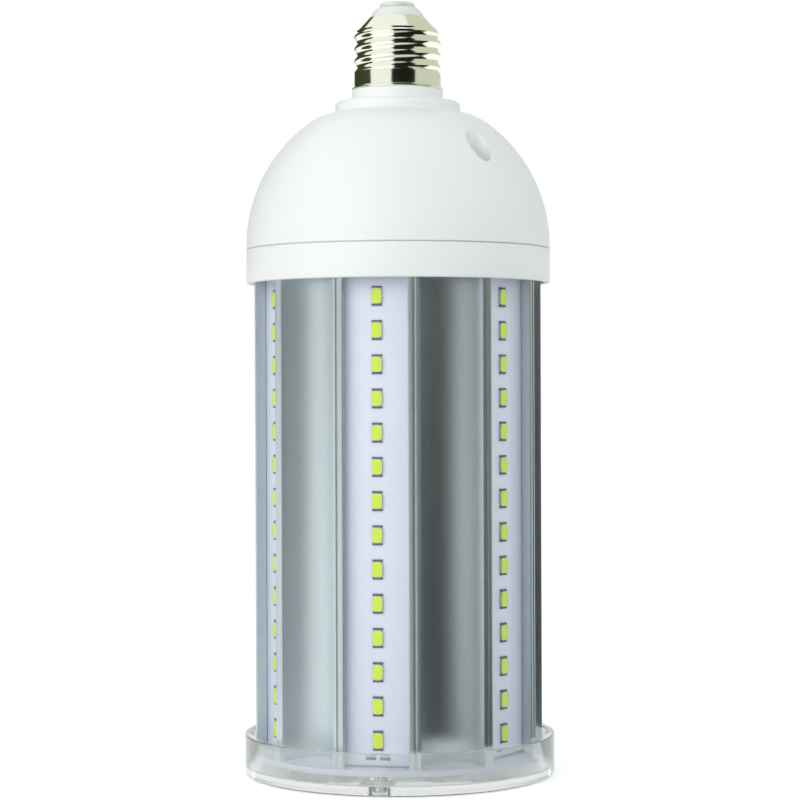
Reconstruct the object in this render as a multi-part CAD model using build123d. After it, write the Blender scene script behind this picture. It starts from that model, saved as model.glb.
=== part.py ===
from build123d import *
import math
import os

# A corn-cob LED lamp that stands on its clear end cap, screw base up.
# The origin is the middle of the end cap's underside and +Z runs along the lamp.
# LED board 1 faces -Y, and azimuths turn from there towards +X.

# Clear end cap
CAP_GAP = 1.3
CAP_WALL = 2.0
CAP_FLOOR = 2.7
CAP_RIM_HEIGHT = 12.2
CAP_EDGE_ROUND = 0.8
CAP_BOSS_HEIGHT = 2.5
CAP_BOSS_WALL = 1.7

# Heat sink extrusion
SIDES = 6
SINK_RADIUS = 43.4
SINK_LENGTH = 143.2
RAIL_HALF_WIDTH = 12.6
RAIL_SIDE_HEIGHT = 1.8
RAIL_EDGE_ROUND = 0.35
LIP_OPENING = 18.7
LIP_GROOVE_WIDTH = 0.8
LIP_GROOVE_DEPTH = 0.5
LIP_GROOVE_FROM_EDGE = 1.35
CHANNEL_DEPTH = 7.0
SINK_WALL = 2.4
SLOT_BACK_WALL = 2.2
PORT_BORE = 1.5
PORT_WALL = 1.7
PORT_MOUTH = 1.4

# LED boards and LEDs
BOARD_WIDTH = 20.4
BOARD_THICKNESS = 1.6
BOARD_RECESS = 4.5
BOARD_END_MARGIN = 0.6
LED_WIDTH = 3.0
LED_LENGTH = 5.7
LED_HEIGHT = 0.8
LED_PITCH = 9.79
LED_COUNT = 14
LED_ROW_MIDDLE = 71.75
WINDOW_WIDTH = 2.4
WINDOW_LENGTH = 4.3
WINDOW_DEPTH = 0.35

# LEDs on the end board: how many in each ring, and how far out
END_LED_COUNTS = (12, 6)
END_LED_CIRCLES = (30.0, 16.0)

# Housing ring
RING_GAP = 0.4
RING_WALL = 2.0
RING_DROP = 2.7
RING_WEB = 2.5
RING_HEIGHT = 10.0
RING_GROOVE = 0.35
LEAD_SLOT_WIDTH = 6.6
LEAD_SLOT_DEPTH = 2.4

# Dome housing
DOME_WALL = 2.2
DOME_BAND = 1.3
DOME_LIP = 2.0
COLLAR_RADIUS = 18.9
COLLAR_HEIGHT = 44.4
COLLAR_ROUND = 0.8
NECK_RADIUS = 13.75
NECK_HEIGHT = 2.7
NECK_PLUG_LENGTH = 15.0
NECK_PLUG_WALL = 1.6
POCKET_RADIUS = 3.7
POCKET_INSET = 9.8
POCKET_AZIMUTH = 49.5
POCKET_WALL = 1.8
POCKET_SEAT = 2.0
POCKET_FLOOR_RISE = 2.7
BOSS_RADIUS = 4.2

# Screw base with its rolled thread
SHELL_CREST = 13.15
SHELL_ROOT = 12.33
SHELL_BORE = 11.55
SHELL_FLANGE = 13.9
SHELL_FLANGE_HEIGHT = 0.9
SHELL_SKIRT = 5.0
THREAD_PITCH = 3.63
THREAD_TURNS = 3.35
SHELL_SHOULDER_Z = 17.3
SHELL_HEIGHT = 21.8
SHELL_TOP_HOLE = 8.3
SHELL_SHEET = 0.5
INSULATOR_RIM = 1.2
INSULATOR_RISE = 3.3
CONTACT_RADIUS = 5.4
CONTACT_RISE = 1.7
CONTACT_CROWN = 0.5
CONTACT_EDGE_ROUND = 1.1
CONTACT_STEM = 1.8
CONTACT_STEM_LENGTH = 5.5

# Driver board and what stands on it, each place a share of the board's radius
DRIVER_INSET = 16.3
DRIVER_THICKNESS = 1.6
POST_HEIGHT = 4.7
POST_RADIUS = 2.8
POST_INSET = 5.5
POST_AZIMUTHS = (20.0, 140.0, 260.0)
TRANSFORMER = (20.0, 16.0, 17.0)
TRANSFORMER_AT = (0.0, 0.07)
CORE_LEG = 3.5
BULK_CAPACITOR = (6.25, 24.0)
BULK_CAPACITOR_AT = (-0.51, -0.41)
OUTPUT_CAPACITOR = (5.0, 18.0)
OUTPUT_CAPACITORS_AT = ((0.0, -0.46), (0.42, -0.41))
CHOKE = (6.0, 12.0)
CHOKE_AT = (0.61, 0.10)
CHOKE_FLANGE = 1.8
CHOKE_WAIST = 1.2
FILM_CAPACITOR = (13.0, 6.0, 11.0)
FILM_CAPACITOR_AT = (-0.03, 0.65)
RECTIFIER = (3.0, 10.0, 10.0)
RECTIFIER_AT = (-0.59, 0.17)
ABSORBER = (4.5, 3.5)
ABSORBER_AT = (-0.44, 0.50)
FUSE = (2.0, 8.0)
FUSE_AT = (0.33, 0.45)
TRANSISTOR = (4.0, 9.0, 13.0)
TRANSISTOR_AT = (0.71, -0.32)
EDGE_BREAK = 0.6

# Leads
LEAD_RADIUS = 0.6
STRIP_LEAD_OFFSETS = (1.5, 4.5)
STRIP_LEAD_LAP = 2.2
STRIP_LEAD_RISE = 5.5
STRIP_LEAD_ARCH = 2.2
STRIP_LEAD_INSET = 1.5
END_LEADS_AT = ((-0.10, 0.90), (0.10, 0.90))
LIVE_LEAD_AT = (-0.25, -0.70)
NEUTRAL_LEAD_AT = (0.32, 0.73)
LEAD_DIP = 13.3
LEAD_BEND = 4.0
NEUTRAL_IN_NECK = (7.4, 2.4)

# Screws
SCREW_RADIUS = 1.4
SCREW_HEAD_RADIUS = 2.8
SCREW_HEAD_HEIGHT = 1.6
SCREW_BITE = 10.0
SCREW_SLOT_WIDTH = 0.8
SCREW_SLOT_DEPTH = 0.7
DRIVER_SCREW_RADIUS = 1.0
DRIVER_SCREW_HEAD = 2.0
DRIVER_SCREW_BITE = 3.5

# Clearances
FIT = 0.1
BOARD_SIDE_FIT = 0.2
LIP_FIT = 0.15
HOLE_FIT = 0.3
HEAD_FIT = 0.4

# Heights that follow from the sizes above
END_BOARD_Z = CAP_FLOOR + CAP_BOSS_HEIGHT
SINK_Z = END_BOARD_Z + BOARD_THICKNESS
SINK_TOP = SINK_Z + SINK_LENGTH
RING_Z = SINK_TOP - RING_DROP
WEB_TOP = SINK_TOP + RING_WEB
RING_TOP = RING_Z + RING_HEIGHT
DOME_CENTRE_Z = RING_TOP + DOME_BAND
COLLAR_TOP = DOME_CENTRE_Z + COLLAR_HEIGHT
NECK_TOP = COLLAR_TOP + NECK_HEIGHT
PLUG_TOP = NECK_TOP + NECK_PLUG_LENGTH
SHELL_TOP = NECK_TOP + SHELL_HEIGHT
CONTACT_SEAT = SHELL_TOP + INSULATOR_RISE
DRIVER_Z = WEB_TOP + POST_HEIGHT
DRIVER_TOP = DRIVER_Z + DRIVER_THICKNESS
POCKET_FLOOR = RING_TOP + POCKET_FLOOR_RISE + POCKET_SEAT

# Places across the heat sink, measured out from its axis. Cap and ring fit round it.
BOARD_FACE = SINK_RADIUS - BOARD_RECESS
SLOT_FLOOR = BOARD_FACE - BOARD_THICKNESS
RAIL_SHOULDER = math.sqrt(SINK_RADIUS ** 2 - RAIL_HALF_WIDTH ** 2)
CHANNEL_EDGE = RAIL_SHOULDER - RAIL_SIDE_HEIGHT
CORE_FLAT = SLOT_FLOOR - SLOT_BACK_WALL
PORT_OUTER = PORT_BORE + PORT_WALL
PORT_AT = CORE_FLAT + PORT_WALL / 2 - PORT_OUTER
CAP_RADIUS = SINK_RADIUS + CAP_GAP + CAP_WALL
RING_RADIUS = SINK_RADIUS + RING_GAP + RING_WALL
POCKET_CIRCLE = RING_RADIUS - POCKET_INSET
DRIVER_RADIUS = RING_RADIUS - DRIVER_INSET
POST_CIRCLE = DRIVER_RADIUS - POST_INSET
DOME_INNER = RING_RADIUS - DOME_WALL
NECK_BORE = SHELL_BORE - FIT - NECK_PLUG_WALL
NECK_MOUTH_Z = DOME_CENTRE_Z + math.sqrt(DOME_INNER ** 2 - NECK_BORE ** 2)
LEAD_BEND_Z = NECK_MOUTH_Z - LEAD_DIP
STEP = 360 / SIDES


def turned(azimuth):
    """Turns what is modelled facing -Y to face the azimuth."""
    return Rot(0, 0, azimuth)


def at_azimuth(azimuth, out, z=0.0, along=0.0):
    """A point at a distance out from the axis, and along the face that looks that way."""
    a = math.radians(azimuth)
    x = out * math.sin(a) + along * math.cos(a)
    y = along * math.sin(a) - out * math.cos(a)
    return (x, y, z)


def post(radius, bottom, top, place=(0.0, 0.0)):
    """An upright cylinder between two heights."""
    disc = Pos(place[0], place[1], bottom) * Circle(radius)
    return extrude(disc, top - bottom)


def block(size, bottom, place):
    """An upright block that stands at a height, with its corners broken."""
    base = Pos(place[0], place[1], bottom) * Rectangle(size[0], size[1])
    body = extrude(base, size[2])
    return chamfer(body.edges().filter_by(Axis.Z), EDGE_BREAK)


def on_driver(share):
    """A place on the driver board from its share of the board's radius."""
    return (share[0] * DRIVER_RADIUS, share[1] * DRIVER_RADIUS)


def turning(points):
    """A turned solid from its half section of (radius, height) points."""
    section = make_face(Polyline(*[(r, 0, z) for r, z in points], close=True))
    return revolve(section, Axis.Z)


def wire_along(points, bends):
    """A lead whose centre line runs through points, rounded at the corners."""
    path = FilletPolyline(*points, radius=bends)
    start = Plane(origin=path @ 0, z_dir=path % 0)
    return sweep(start * Circle(LEAD_RADIUS), path=path)


def screw(top, length, radius=SCREW_RADIUS, head=SCREW_HEAD_RADIUS):
    """A slotted pan-head screw that points down, with its head's underside at a height."""
    shank = post(radius, top - length, top)
    cap = post(head, top, top + SCREW_HEAD_HEIGHT)
    cap = chamfer(cap.edges().group_by(Axis.Z)[-1], SCREW_HEAD_HEIGHT / 4)
    slot = Pos(0, 0, top + SCREW_HEAD_HEIGHT) * Box(
        2 * head + FIT, SCREW_SLOT_WIDTH, 2 * SCREW_SLOT_DEPTH)
    return shank + cap - slot


def on_round(along):
    """A point of the sink's outer round, which the lips follow."""
    return (along, math.sqrt(SINK_RADIUS ** 2 - along ** 2))


def rail_outline():
    """Half-way round one rail: side wall, grooved lip, and the slot that holds the board."""
    lip = LIP_OPENING / 2
    groove = RAIL_HALF_WIDTH - LIP_GROOVE_FROM_EDGE
    slot = BOARD_WIDTH / 2 + BOARD_SIDE_FIT
    right = [
        (slot, SLOT_FLOOR),
        (slot, BOARD_FACE + LIP_FIT),
        (lip, BOARD_FACE + LIP_FIT),
        on_round(lip),
        on_round(groove - LIP_GROOVE_WIDTH / 2),
        (groove, on_round(groove)[1] - LIP_GROOVE_DEPTH),
        on_round(groove + LIP_GROOVE_WIDTH / 2),
        on_round(RAIL_HALF_WIDTH),
        (RAIL_HALF_WIDTH, CHANNEL_EDGE),
    ]
    left = [(-along, out) for along, out in reversed(right)]
    return left + right


def is_rail_corner(vertex):
    """True for a vertex where a rail's side wall meets its lip."""
    turn = abs(math.degrees(math.atan2(vertex.X, -vertex.Y)) + STEP / 2) % STEP - STEP / 2
    corner = math.degrees(math.asin(RAIL_HALF_WIDTH / SINK_RADIUS))
    reach = math.hypot(vertex.X, vertex.Y)
    return reach > SINK_RADIUS - FIT and abs(abs(turn) - corner) < FIT


def sink_outer_face():
    """The extrusion's outline: six rails joined by concave channels."""
    outline = rail_outline()
    edges = []
    mouth = math.hypot(RAIL_HALF_WIDTH, CHANNEL_EDGE)
    half_mouth = math.radians(STEP / 2) - math.atan2(RAIL_HALF_WIDTH, CHANNEL_EDGE)
    channel_bottom = mouth * math.cos(half_mouth) - CHANNEL_DEPTH
    for side in range(SIDES):
        azimuth = side * STEP
        points = [at_azimuth(azimuth, out, 0, along) for along, out in outline]
        edges.append(Polyline(*points))
        after = at_azimuth(azimuth + STEP, outline[0][1], 0, outline[0][0])
        bottom = at_azimuth(azimuth + STEP / 2, channel_bottom)
        edges.append(ThreePointArc(points[-1], bottom, after))
    face = make_face(edges)
    return fillet(face.vertices().filter_by(is_rail_corner), RAIL_EDGE_ROUND), channel_bottom


def sink_hollow(channel_bottom):
    """The core's hollow, with a screw port left standing behind each board."""
    hollow = Circle(channel_bottom - SINK_WALL)
    bay_width = 2 * (RAIL_HALF_WIDTH - SINK_WALL - FIT)
    bay = Pos(0, -CORE_FLAT / 2) * Rectangle(bay_width, CORE_FLAT)
    port = Pos(0, -PORT_AT) * Circle(PORT_OUTER)
    bore = Pos(0, -PORT_AT) * Circle(PORT_BORE)
    mouth = Pos(0, -(PORT_AT - PORT_OUTER / 2)) * Rectangle(PORT_MOUTH, PORT_OUTER + PORT_BORE)
    for side in range(SIDES):
        hollow += turned(side * STEP) * bay
    for side in range(SIDES):
        hollow -= turned(side * STEP) * port
    for side in range(SIDES):
        hollow += turned(side * STEP) * (bore + mouth)
    return hollow


def heat_sink():
    """One aluminium extrusion, the same section all the way."""
    outer, channel_bottom = sink_outer_face()
    section = outer - sink_hollow(channel_bottom)
    return extrude(Pos(0, 0, SINK_Z) * section, SINK_LENGTH)


def led_board():
    """A board for one slot, as long as the sink less a margin at each end."""
    length = SINK_LENGTH - 2 * BOARD_END_MARGIN
    middle = SINK_Z + SINK_LENGTH / 2
    y = -(SLOT_FLOOR + BOARD_THICKNESS / 2)
    return Pos(0, y, middle) * Box(BOARD_WIDTH, BOARD_THICKNESS, length)


def led_package():
    """A package that faces -Y with its back at the origin, and a pocket for its phosphor."""
    body = Pos(0, -LED_HEIGHT / 2, 0) * Box(LED_WIDTH, LED_HEIGHT, LED_LENGTH)
    return body - led_window()


def led_window():
    """The phosphor that fills a package's pocket, flush with its face."""
    y = -LED_HEIGHT + WINDOW_DEPTH / 2
    return Pos(0, y, 0) * Box(WINDOW_WIDTH, WINDOW_DEPTH, WINDOW_LENGTH)


def led_row(shape):
    """One board's column of LEDs, or of their windows."""
    first = SINK_Z + LED_ROW_MIDDLE - LED_PITCH * (LED_COUNT - 1) / 2
    heights = [first + LED_PITCH * i for i in range(LED_COUNT)]
    return [Pos(0, -BOARD_FACE, z) * shape for z in heights]


def end_led_places():
    """Where each LED of the end board lies, face down."""
    places = []
    for count, circle in zip(END_LED_COUNTS, END_LED_CIRCLES):
        for i in range(count):
            azimuth = (i + 0.5) * 360 / count
            places.append(turned(azimuth) * Pos(0, -circle, END_BOARD_Z) * Rot(90, 0, 0))
    return places


def end_board():
    """A round board across the foot of the heat sink, with its screw holes."""
    board = post(SINK_RADIUS, END_BOARD_Z, SINK_Z)
    for azimuth in screw_azimuths():
        hole = post(SCREW_RADIUS + HOLE_FIT, END_BOARD_Z, SINK_Z)
        board -= turned(azimuth) * Pos(0, -PORT_AT, 0) * hole
    return board


def screw_azimuths():
    """Every second screw port takes a screw."""
    return [STEP * side for side in range(0, SIDES, 2)]


def end_cap():
    """A clear cup with three bosses that press on the end board."""
    cap = post(CAP_RADIUS, 0, CAP_RIM_HEIGHT)
    cap = fillet(cap.edges().group_by(Axis.Z)[0], CAP_EDGE_ROUND)
    cap -= post(CAP_RADIUS - CAP_WALL, CAP_FLOOR, CAP_RIM_HEIGHT)
    rim = cap.edges().group_by(Axis.Z)[-1]
    cap = fillet(rim, CAP_EDGE_ROUND / 2)
    hole = SCREW_RADIUS + HOLE_FIT
    sunk = SCREW_HEAD_HEIGHT + FIT
    for azimuth in screw_azimuths():
        seat = turned(azimuth) * Pos(0, -PORT_AT, 0)
        cap += seat * post(hole + CAP_BOSS_WALL, CAP_FLOOR, END_BOARD_Z)
        cap -= seat * post(hole, 0, END_BOARD_Z)
        cap -= seat * post(SCREW_HEAD_RADIUS + HEAD_FIT, 0, sunk)
    return cap


def end_cap_screws():
    """Screws that point up, through cap and end board, into the ports."""
    length = SINK_Z + SCREW_BITE - SCREW_HEAD_HEIGHT - FIT
    one = Pos(0, -PORT_AT, SCREW_HEAD_HEIGHT + FIT) * Rot(180, 0, 0) * screw(0, length)
    return [turned(azimuth) * one for azimuth in screw_azimuths()]


def ring_screws():
    """Screws through the ring's web into the ports at the top."""
    one = Pos(0, -PORT_AT, 0) * screw(WEB_TOP, RING_WEB + SCREW_BITE)
    return [turned(azimuth) * one for azimuth in screw_azimuths()]


def pocket_azimuths():
    """The two dome screws stand opposite each other."""
    return [POCKET_AZIMUTH, POCKET_AZIMUTH + 180]


def dome_screws():
    """Screws at the bottom of the dome's pockets, into the ring's bosses."""
    one = Pos(0, -POCKET_CIRCLE, 0) * screw(POCKET_FLOOR, POCKET_SEAT + SCREW_BITE)
    return [turned(azimuth) * one for azimuth in pocket_azimuths()]


def housing_ring():
    """A white ring with a web that screws down on the heat sink."""
    inner = RING_RADIUS - RING_WALL
    ring = turning([
        (0, SINK_TOP), (inner, SINK_TOP), (inner, RING_Z), (RING_RADIUS, RING_Z),
        (RING_RADIUS, RING_TOP - RING_GROOVE), (RING_RADIUS - RING_GROOVE, RING_TOP),
        (inner, RING_TOP), (inner, WEB_TOP), (0, WEB_TOP),
    ])
    for azimuth in pocket_azimuths():
        seat = turned(azimuth) * Pos(0, -POCKET_CIRCLE, 0)
        top = POCKET_FLOOR - POCKET_SEAT
        ring += seat * post(BOSS_RADIUS, WEB_TOP, top)
        ring -= seat * post(SCREW_RADIUS + FIT, top - SCREW_BITE, top)
    for azimuth in POST_AZIMUTHS:
        seat = turned(azimuth) * Pos(0, -POST_CIRCLE, 0)
        ring += seat * post(POST_RADIUS, WEB_TOP, DRIVER_Z)
        ring -= seat * post(DRIVER_SCREW_RADIUS + FIT, DRIVER_Z - DRIVER_SCREW_BITE, DRIVER_Z)
    for azimuth in screw_azimuths():
        hole = post(SCREW_RADIUS + HOLE_FIT, SINK_TOP, WEB_TOP)
        ring -= turned(azimuth) * Pos(0, -PORT_AT, 0) * hole
    middle = sum(STRIP_LEAD_OFFSETS) / 2
    slot = Pos(middle, -strip_lead_out(), SINK_TOP + RING_WEB / 2) * Box(
        LEAD_SLOT_WIDTH, LEAD_SLOT_DEPTH, RING_WEB)
    for side in range(SIDES):
        ring -= turned(side * STEP) * slot
    for place in END_LEADS_AT:
        ring -= post(LEAD_RADIUS + HOLE_FIT, SINK_TOP, WEB_TOP, on_driver(place))
    return ring


def dome_section():
    """Half section of the dome: shell, collar, neck, and the plug inside the screw shell."""
    inner = DOME_INNER
    lip = RING_RADIUS - RING_WALL - FIT
    lip_bottom = RING_TOP - DOME_LIP
    plug = SHELL_BORE - FIT
    meets_z = DOME_CENTRE_Z + math.sqrt(RING_RADIUS ** 2 - COLLAR_RADIUS ** 2)
    slant = math.radians(45)
    outer_arc = ThreePointArc(
        (RING_RADIUS, 0, DOME_CENTRE_Z),
        (RING_RADIUS * math.cos(slant), 0, DOME_CENTRE_Z + RING_RADIUS * math.sin(slant)),
        (COLLAR_RADIUS, 0, meets_z))
    rise = Polyline(
        (COLLAR_RADIUS, 0, meets_z), (COLLAR_RADIUS, 0, COLLAR_TOP - COLLAR_ROUND),
        (COLLAR_RADIUS - COLLAR_ROUND, 0, COLLAR_TOP), (NECK_RADIUS, 0, COLLAR_TOP),
        (NECK_RADIUS, 0, NECK_TOP), (plug, 0, NECK_TOP), (plug, 0, PLUG_TOP),
        (NECK_BORE, 0, PLUG_TOP), (NECK_BORE, 0, NECK_MOUTH_Z))
    inner_arc = ThreePointArc(
        (NECK_BORE, 0, NECK_MOUTH_Z),
        (inner * math.cos(slant), 0, DOME_CENTRE_Z + inner * math.sin(slant)),
        (inner, 0, DOME_CENTRE_Z))
    foot = Polyline(
        (inner, 0, DOME_CENTRE_Z), (inner, 0, RING_TOP), (inner, 0, lip_bottom),
        (lip, 0, lip_bottom), (lip, 0, RING_TOP), (RING_RADIUS - RING_GROOVE, 0, RING_TOP),
        (RING_RADIUS, 0, RING_TOP + RING_GROOVE), (RING_RADIUS, 0, DOME_CENTRE_Z))
    return make_face([outer_arc, rise, inner_arc, foot])


def dome_housing():
    """One white moulding with two deep screw pockets let into its shoulder."""
    dome = revolve(dome_section(), Axis.Z)
    ball = Pos(0, 0, DOME_CENTRE_Z) * Sphere(RING_RADIUS)
    floor = POCKET_FLOOR - POCKET_SEAT
    for azimuth in pocket_azimuths():
        seat = turned(azimuth) * Pos(0, -POCKET_CIRCLE, 0)
        tube = seat * post(POCKET_RADIUS + POCKET_WALL, floor, COLLAR_TOP)
        dome += tube & ball
        dome -= seat * post(POCKET_RADIUS, POCKET_FLOOR, COLLAR_TOP)
        dome -= seat * post(SCREW_RADIUS + HOLE_FIT, floor, POCKET_FLOOR)
    return dome


def shell_blank():
    """The screw shell before its thread is rolled: flange, skirt, barrel and shoulder."""
    slope_out = SHELL_CREST - SHELL_TOP_HOLE - SHELL_SHEET
    slope_up = SHELL_HEIGHT - SHELL_SHOULDER_Z
    thin = SHELL_SHEET * math.hypot(slope_out, slope_up) / slope_out
    shoulder_z = NECK_TOP + SHELL_SHOULDER_Z
    bore_z = shoulder_z - thin + (SHELL_CREST - SHELL_BORE) * slope_up / slope_out
    return turning([
        (SHELL_BORE, NECK_TOP), (SHELL_FLANGE, NECK_TOP),
        (SHELL_FLANGE, NECK_TOP + SHELL_FLANGE_HEIGHT / 2),
        (SHELL_CREST, NECK_TOP + SHELL_FLANGE_HEIGHT),
        (SHELL_CREST, NECK_TOP + SHELL_SKIRT),
        (SHELL_ROOT, NECK_TOP + SHELL_SKIRT + SHELL_CREST - SHELL_ROOT),
        (SHELL_ROOT, shoulder_z + (SHELL_CREST - SHELL_ROOT) * slope_up / slope_out),
        (SHELL_TOP_HOLE + SHELL_SHEET, SHELL_TOP), (SHELL_TOP_HOLE, SHELL_TOP),
        (SHELL_TOP_HOLE, SHELL_TOP - thin + SHELL_SHEET * slope_up / slope_out),
        (SHELL_BORE, bore_z),
    ]), bore_z


def thread_ridge():
    """One rounded ridge wound round the barrel, faded out at both ends."""
    start_z = NECK_TOP + SHELL_SKIRT
    height = THREAD_PITCH * THREAD_TURNS
    rise = SHELL_CREST - SHELL_ROOT
    path = Helix(pitch=THREAD_PITCH, height=height, radius=SHELL_ROOT)
    half = (THREAD_PITCH - FIT / 2) / 2
    root = (SHELL_ROOT + SHELL_BORE) / 2
    crest = ThreePointArc((root, 0, -half), (SHELL_CREST, 0, 0), (root, 0, half))
    section = make_face([crest, Line((root, 0, half), (root, 0, -half))])
    ridge = Pos(0, 0, start_z) * Rot(0, 0, 180) * sweep(section, path=path, is_frenet=True)
    fade = turning([
        (0, start_z - half), (SHELL_ROOT - FIT, start_z - half),
        (SHELL_CREST + FIT, start_z + rise), (SHELL_CREST + FIT, start_z + height - rise),
        (SHELL_ROOT - FIT, start_z + height + half), (0, start_z + height + half),
    ])
    return ridge & fade


def screw_shell():
    """Thin nickel-plated shell with a coarse rolled thread."""
    blank, _ = shell_blank()
    return blank + thread_ridge()


def base_insulator():
    """Pale moulding that fills the top of the shell and carries the contact."""
    _, bore_z = shell_blank()
    neck = SHELL_TOP_HOLE - FIT
    under = bore_z - INSULATOR_RIM
    hole = CONTACT_STEM + FIT
    slope = (SHELL_TOP - bore_z) / (SHELL_BORE - SHELL_TOP_HOLE)
    step = CONTACT_RADIUS + EDGE_BREAK
    side = Polyline(
        (step, 0, CONTACT_SEAT), (hole, 0, CONTACT_SEAT), (hole, 0, under),
        (SHELL_BORE - FIT, 0, under), (SHELL_BORE - FIT, 0, bore_z - FIT),
        (neck, 0, bore_z - FIT + slope * (SHELL_BORE - SHELL_TOP_HOLE) - 2 * FIT),
        (neck, 0, SHELL_TOP))
    middle_r = (neck + step) / 2 + INSULATOR_RISE * 0.16
    crown = ThreePointArc(
        (neck, 0, SHELL_TOP), (middle_r, 0, (SHELL_TOP + CONTACT_SEAT) / 2),
        (step, 0, CONTACT_SEAT))
    return revolve(make_face([side, crown]), Axis.Z)


def center_contact():
    """A low crowned rivet head on the insulator, with its stem inside."""
    ball = (CONTACT_RADIUS ** 2 + CONTACT_CROWN ** 2) / (2 * CONTACT_CROWN)
    head = Pos(0, 0, CONTACT_SEAT + CONTACT_RISE - ball) * Sphere(ball)
    head &= post(CONTACT_RADIUS, CONTACT_SEAT, CONTACT_SEAT + CONTACT_RISE)
    rims = head.edges().filter_by(lambda edge: edge.length > 6 * CONTACT_RADIUS)
    head = fillet(rims.sort_by(Axis.Z)[-1], CONTACT_EDGE_ROUND)
    return head + post(CONTACT_STEM, CONTACT_SEAT - CONTACT_STEM_LENGTH, CONTACT_SEAT)


def driver_board():
    """A round board on three posts."""
    board = post(DRIVER_RADIUS, DRIVER_Z, DRIVER_TOP)
    for azimuth in POST_AZIMUTHS:
        hole = post(DRIVER_SCREW_RADIUS + HOLE_FIT, DRIVER_Z, DRIVER_TOP)
        board -= turned(azimuth) * Pos(0, -POST_CIRCLE, 0) * hole
    return board


def driver_screws():
    """Small screws through the driver board into the posts."""
    length = DRIVER_THICKNESS + DRIVER_SCREW_BITE
    one = screw(DRIVER_TOP, length, DRIVER_SCREW_RADIUS, DRIVER_SCREW_HEAD)
    return [turned(azimuth) * Pos(0, -POST_CIRCLE, 0) * one for azimuth in POST_AZIMUTHS]


def transformer_core():
    """A ferrite frame: two outer legs and a middle leg between two yokes."""
    length, width, height = TRANSFORMER
    x, y = on_driver(TRANSFORMER_AT)
    core = Pos(x, y, DRIVER_TOP + height / 2) * Box(length, width / 2, height)
    window = (length - 4 * CORE_LEG) / 2
    for direction in (-1, 1):
        middle = x + direction * (CORE_LEG + window / 2)
        core -= Pos(middle, y, DRIVER_TOP + height / 2) * Box(
            window, width / 2, height - 2 * CORE_LEG)
    return core


def transformer_coil():
    """The wound bobbin round the core's middle leg."""
    length, width, height = TRANSFORMER
    x, y = on_driver(TRANSFORMER_AT)
    tall = height - 2 * CORE_LEG - 2 * FIT
    wide = length - 2 * CORE_LEG - 2 * FIT
    middle = Pos(x, y, DRIVER_TOP + height / 2)
    coil = middle * Box(wide, width, tall)
    coil = chamfer(coil.edges().filter_by(Axis.Z), EDGE_BREAK)
    return coil - middle * Box(2 * (CORE_LEG + FIT), width / 2 + 2 * FIT, tall)


def can(size, place):
    """An upright capacitor can with its crimp groove and rounded shoulders."""
    radius, height = size
    body = post(radius, DRIVER_TOP, DRIVER_TOP + height, place)
    body = fillet(body.edges().group_by(Axis.Z)[-1], EDGE_BREAK)
    crimp = DRIVER_TOP + height / 8
    groove = post(radius + FIT, crimp, crimp + 2 * EDGE_BREAK, place)
    return body - (groove - post(radius - EDGE_BREAK / 2, crimp, crimp + 2 * EDGE_BREAK, place))


def filter_choke():
    """A drum core with its winding between two flanges."""
    radius, height = CHOKE
    bottom = DRIVER_TOP
    top = bottom + height
    place = on_driver(CHOKE_AT)
    drum = post(radius, bottom, bottom + CHOKE_FLANGE, place)
    drum += post(radius - CHOKE_WAIST, bottom, top, place)
    return drum + post(radius, top - CHOKE_FLANGE, top, place)


def surge_absorber():
    """A coated disc that stands on its edge."""
    radius, thickness = ABSORBER
    x, y = on_driver(ABSORBER_AT)
    disc = Pos(x, y, DRIVER_TOP + radius) * Rot(0, 90, 0) * Cylinder(radius, thickness)
    return fillet(disc.edges(), EDGE_BREAK)


def fuse():
    """A small barrel that lies on the board."""
    radius, length = FUSE
    x, y = on_driver(FUSE_AT)
    barrel = Pos(x, y, DRIVER_TOP + radius) * Rot(0, 90, 0) * Cylinder(radius, length)
    return fillet(barrel.edges(), EDGE_BREAK)


def strip_lead_out():
    """How far out a strip's leads lie, flat on the board's face."""
    return BOARD_FACE + LEAD_RADIUS + FIT / 2


def strip_lead(along):
    """A lead from a board's top pad, up through the web and over to the driver board."""
    out = strip_lead_out()
    end = DRIVER_RADIUS - STRIP_LEAD_INSET
    arch = DRIVER_TOP + STRIP_LEAD_ARCH
    points = [
        (along, -out, SINK_TOP - STRIP_LEAD_LAP),
        (along, -out, SINK_TOP + STRIP_LEAD_RISE),
        (along, -(out + end) / 2, arch),
        (along, -end, arch),
        (along, -end, DRIVER_TOP),
    ]
    return wire_along(points, LEAD_RADIUS * 2)


def strip_leads(along):
    """The same lead at each board."""
    one = strip_lead(along)
    return [turned(side * STEP) * one for side in range(SIDES)]


def end_leads():
    """Two straight leads down the hollow core to the end board."""
    return [post(LEAD_RADIUS, SINK_Z, DRIVER_Z, on_driver(place)) for place in END_LEADS_AT]


def live_lead():
    """From the driver board to the foot of the contact's stem."""
    x, y = on_driver(LIVE_LEAD_AT)
    bottom = CONTACT_SEAT - CONTACT_STEM_LENGTH
    points = [(x, y, DRIVER_TOP), (x, y, LEAD_BEND_Z), (0, 0, NECK_MOUTH_Z), (0, 0, bottom)]
    return wire_along(points, LEAD_BEND)


def neutral_lead():
    """From the driver board up through the neck, and out to the shell."""
    x, y = on_driver(NEUTRAL_LEAD_AT)
    neck_x, neck_y = NEUTRAL_IN_NECK
    out = math.hypot(neck_x, neck_y)
    end = (SHELL_BORE - FIT / 2) / out
    z = PLUG_TOP + 2 * LEAD_RADIUS
    tip = (neck_x * end, neck_y * end, z)
    points = [
        (x, y, DRIVER_TOP), (x, y, LEAD_BEND_Z),
        (neck_x, neck_y, NECK_MOUTH_Z), (neck_x, neck_y, z), tip]
    return wire_along(points, [LEAD_BEND, LEAD_BEND, 2 * LEAD_RADIUS])


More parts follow.
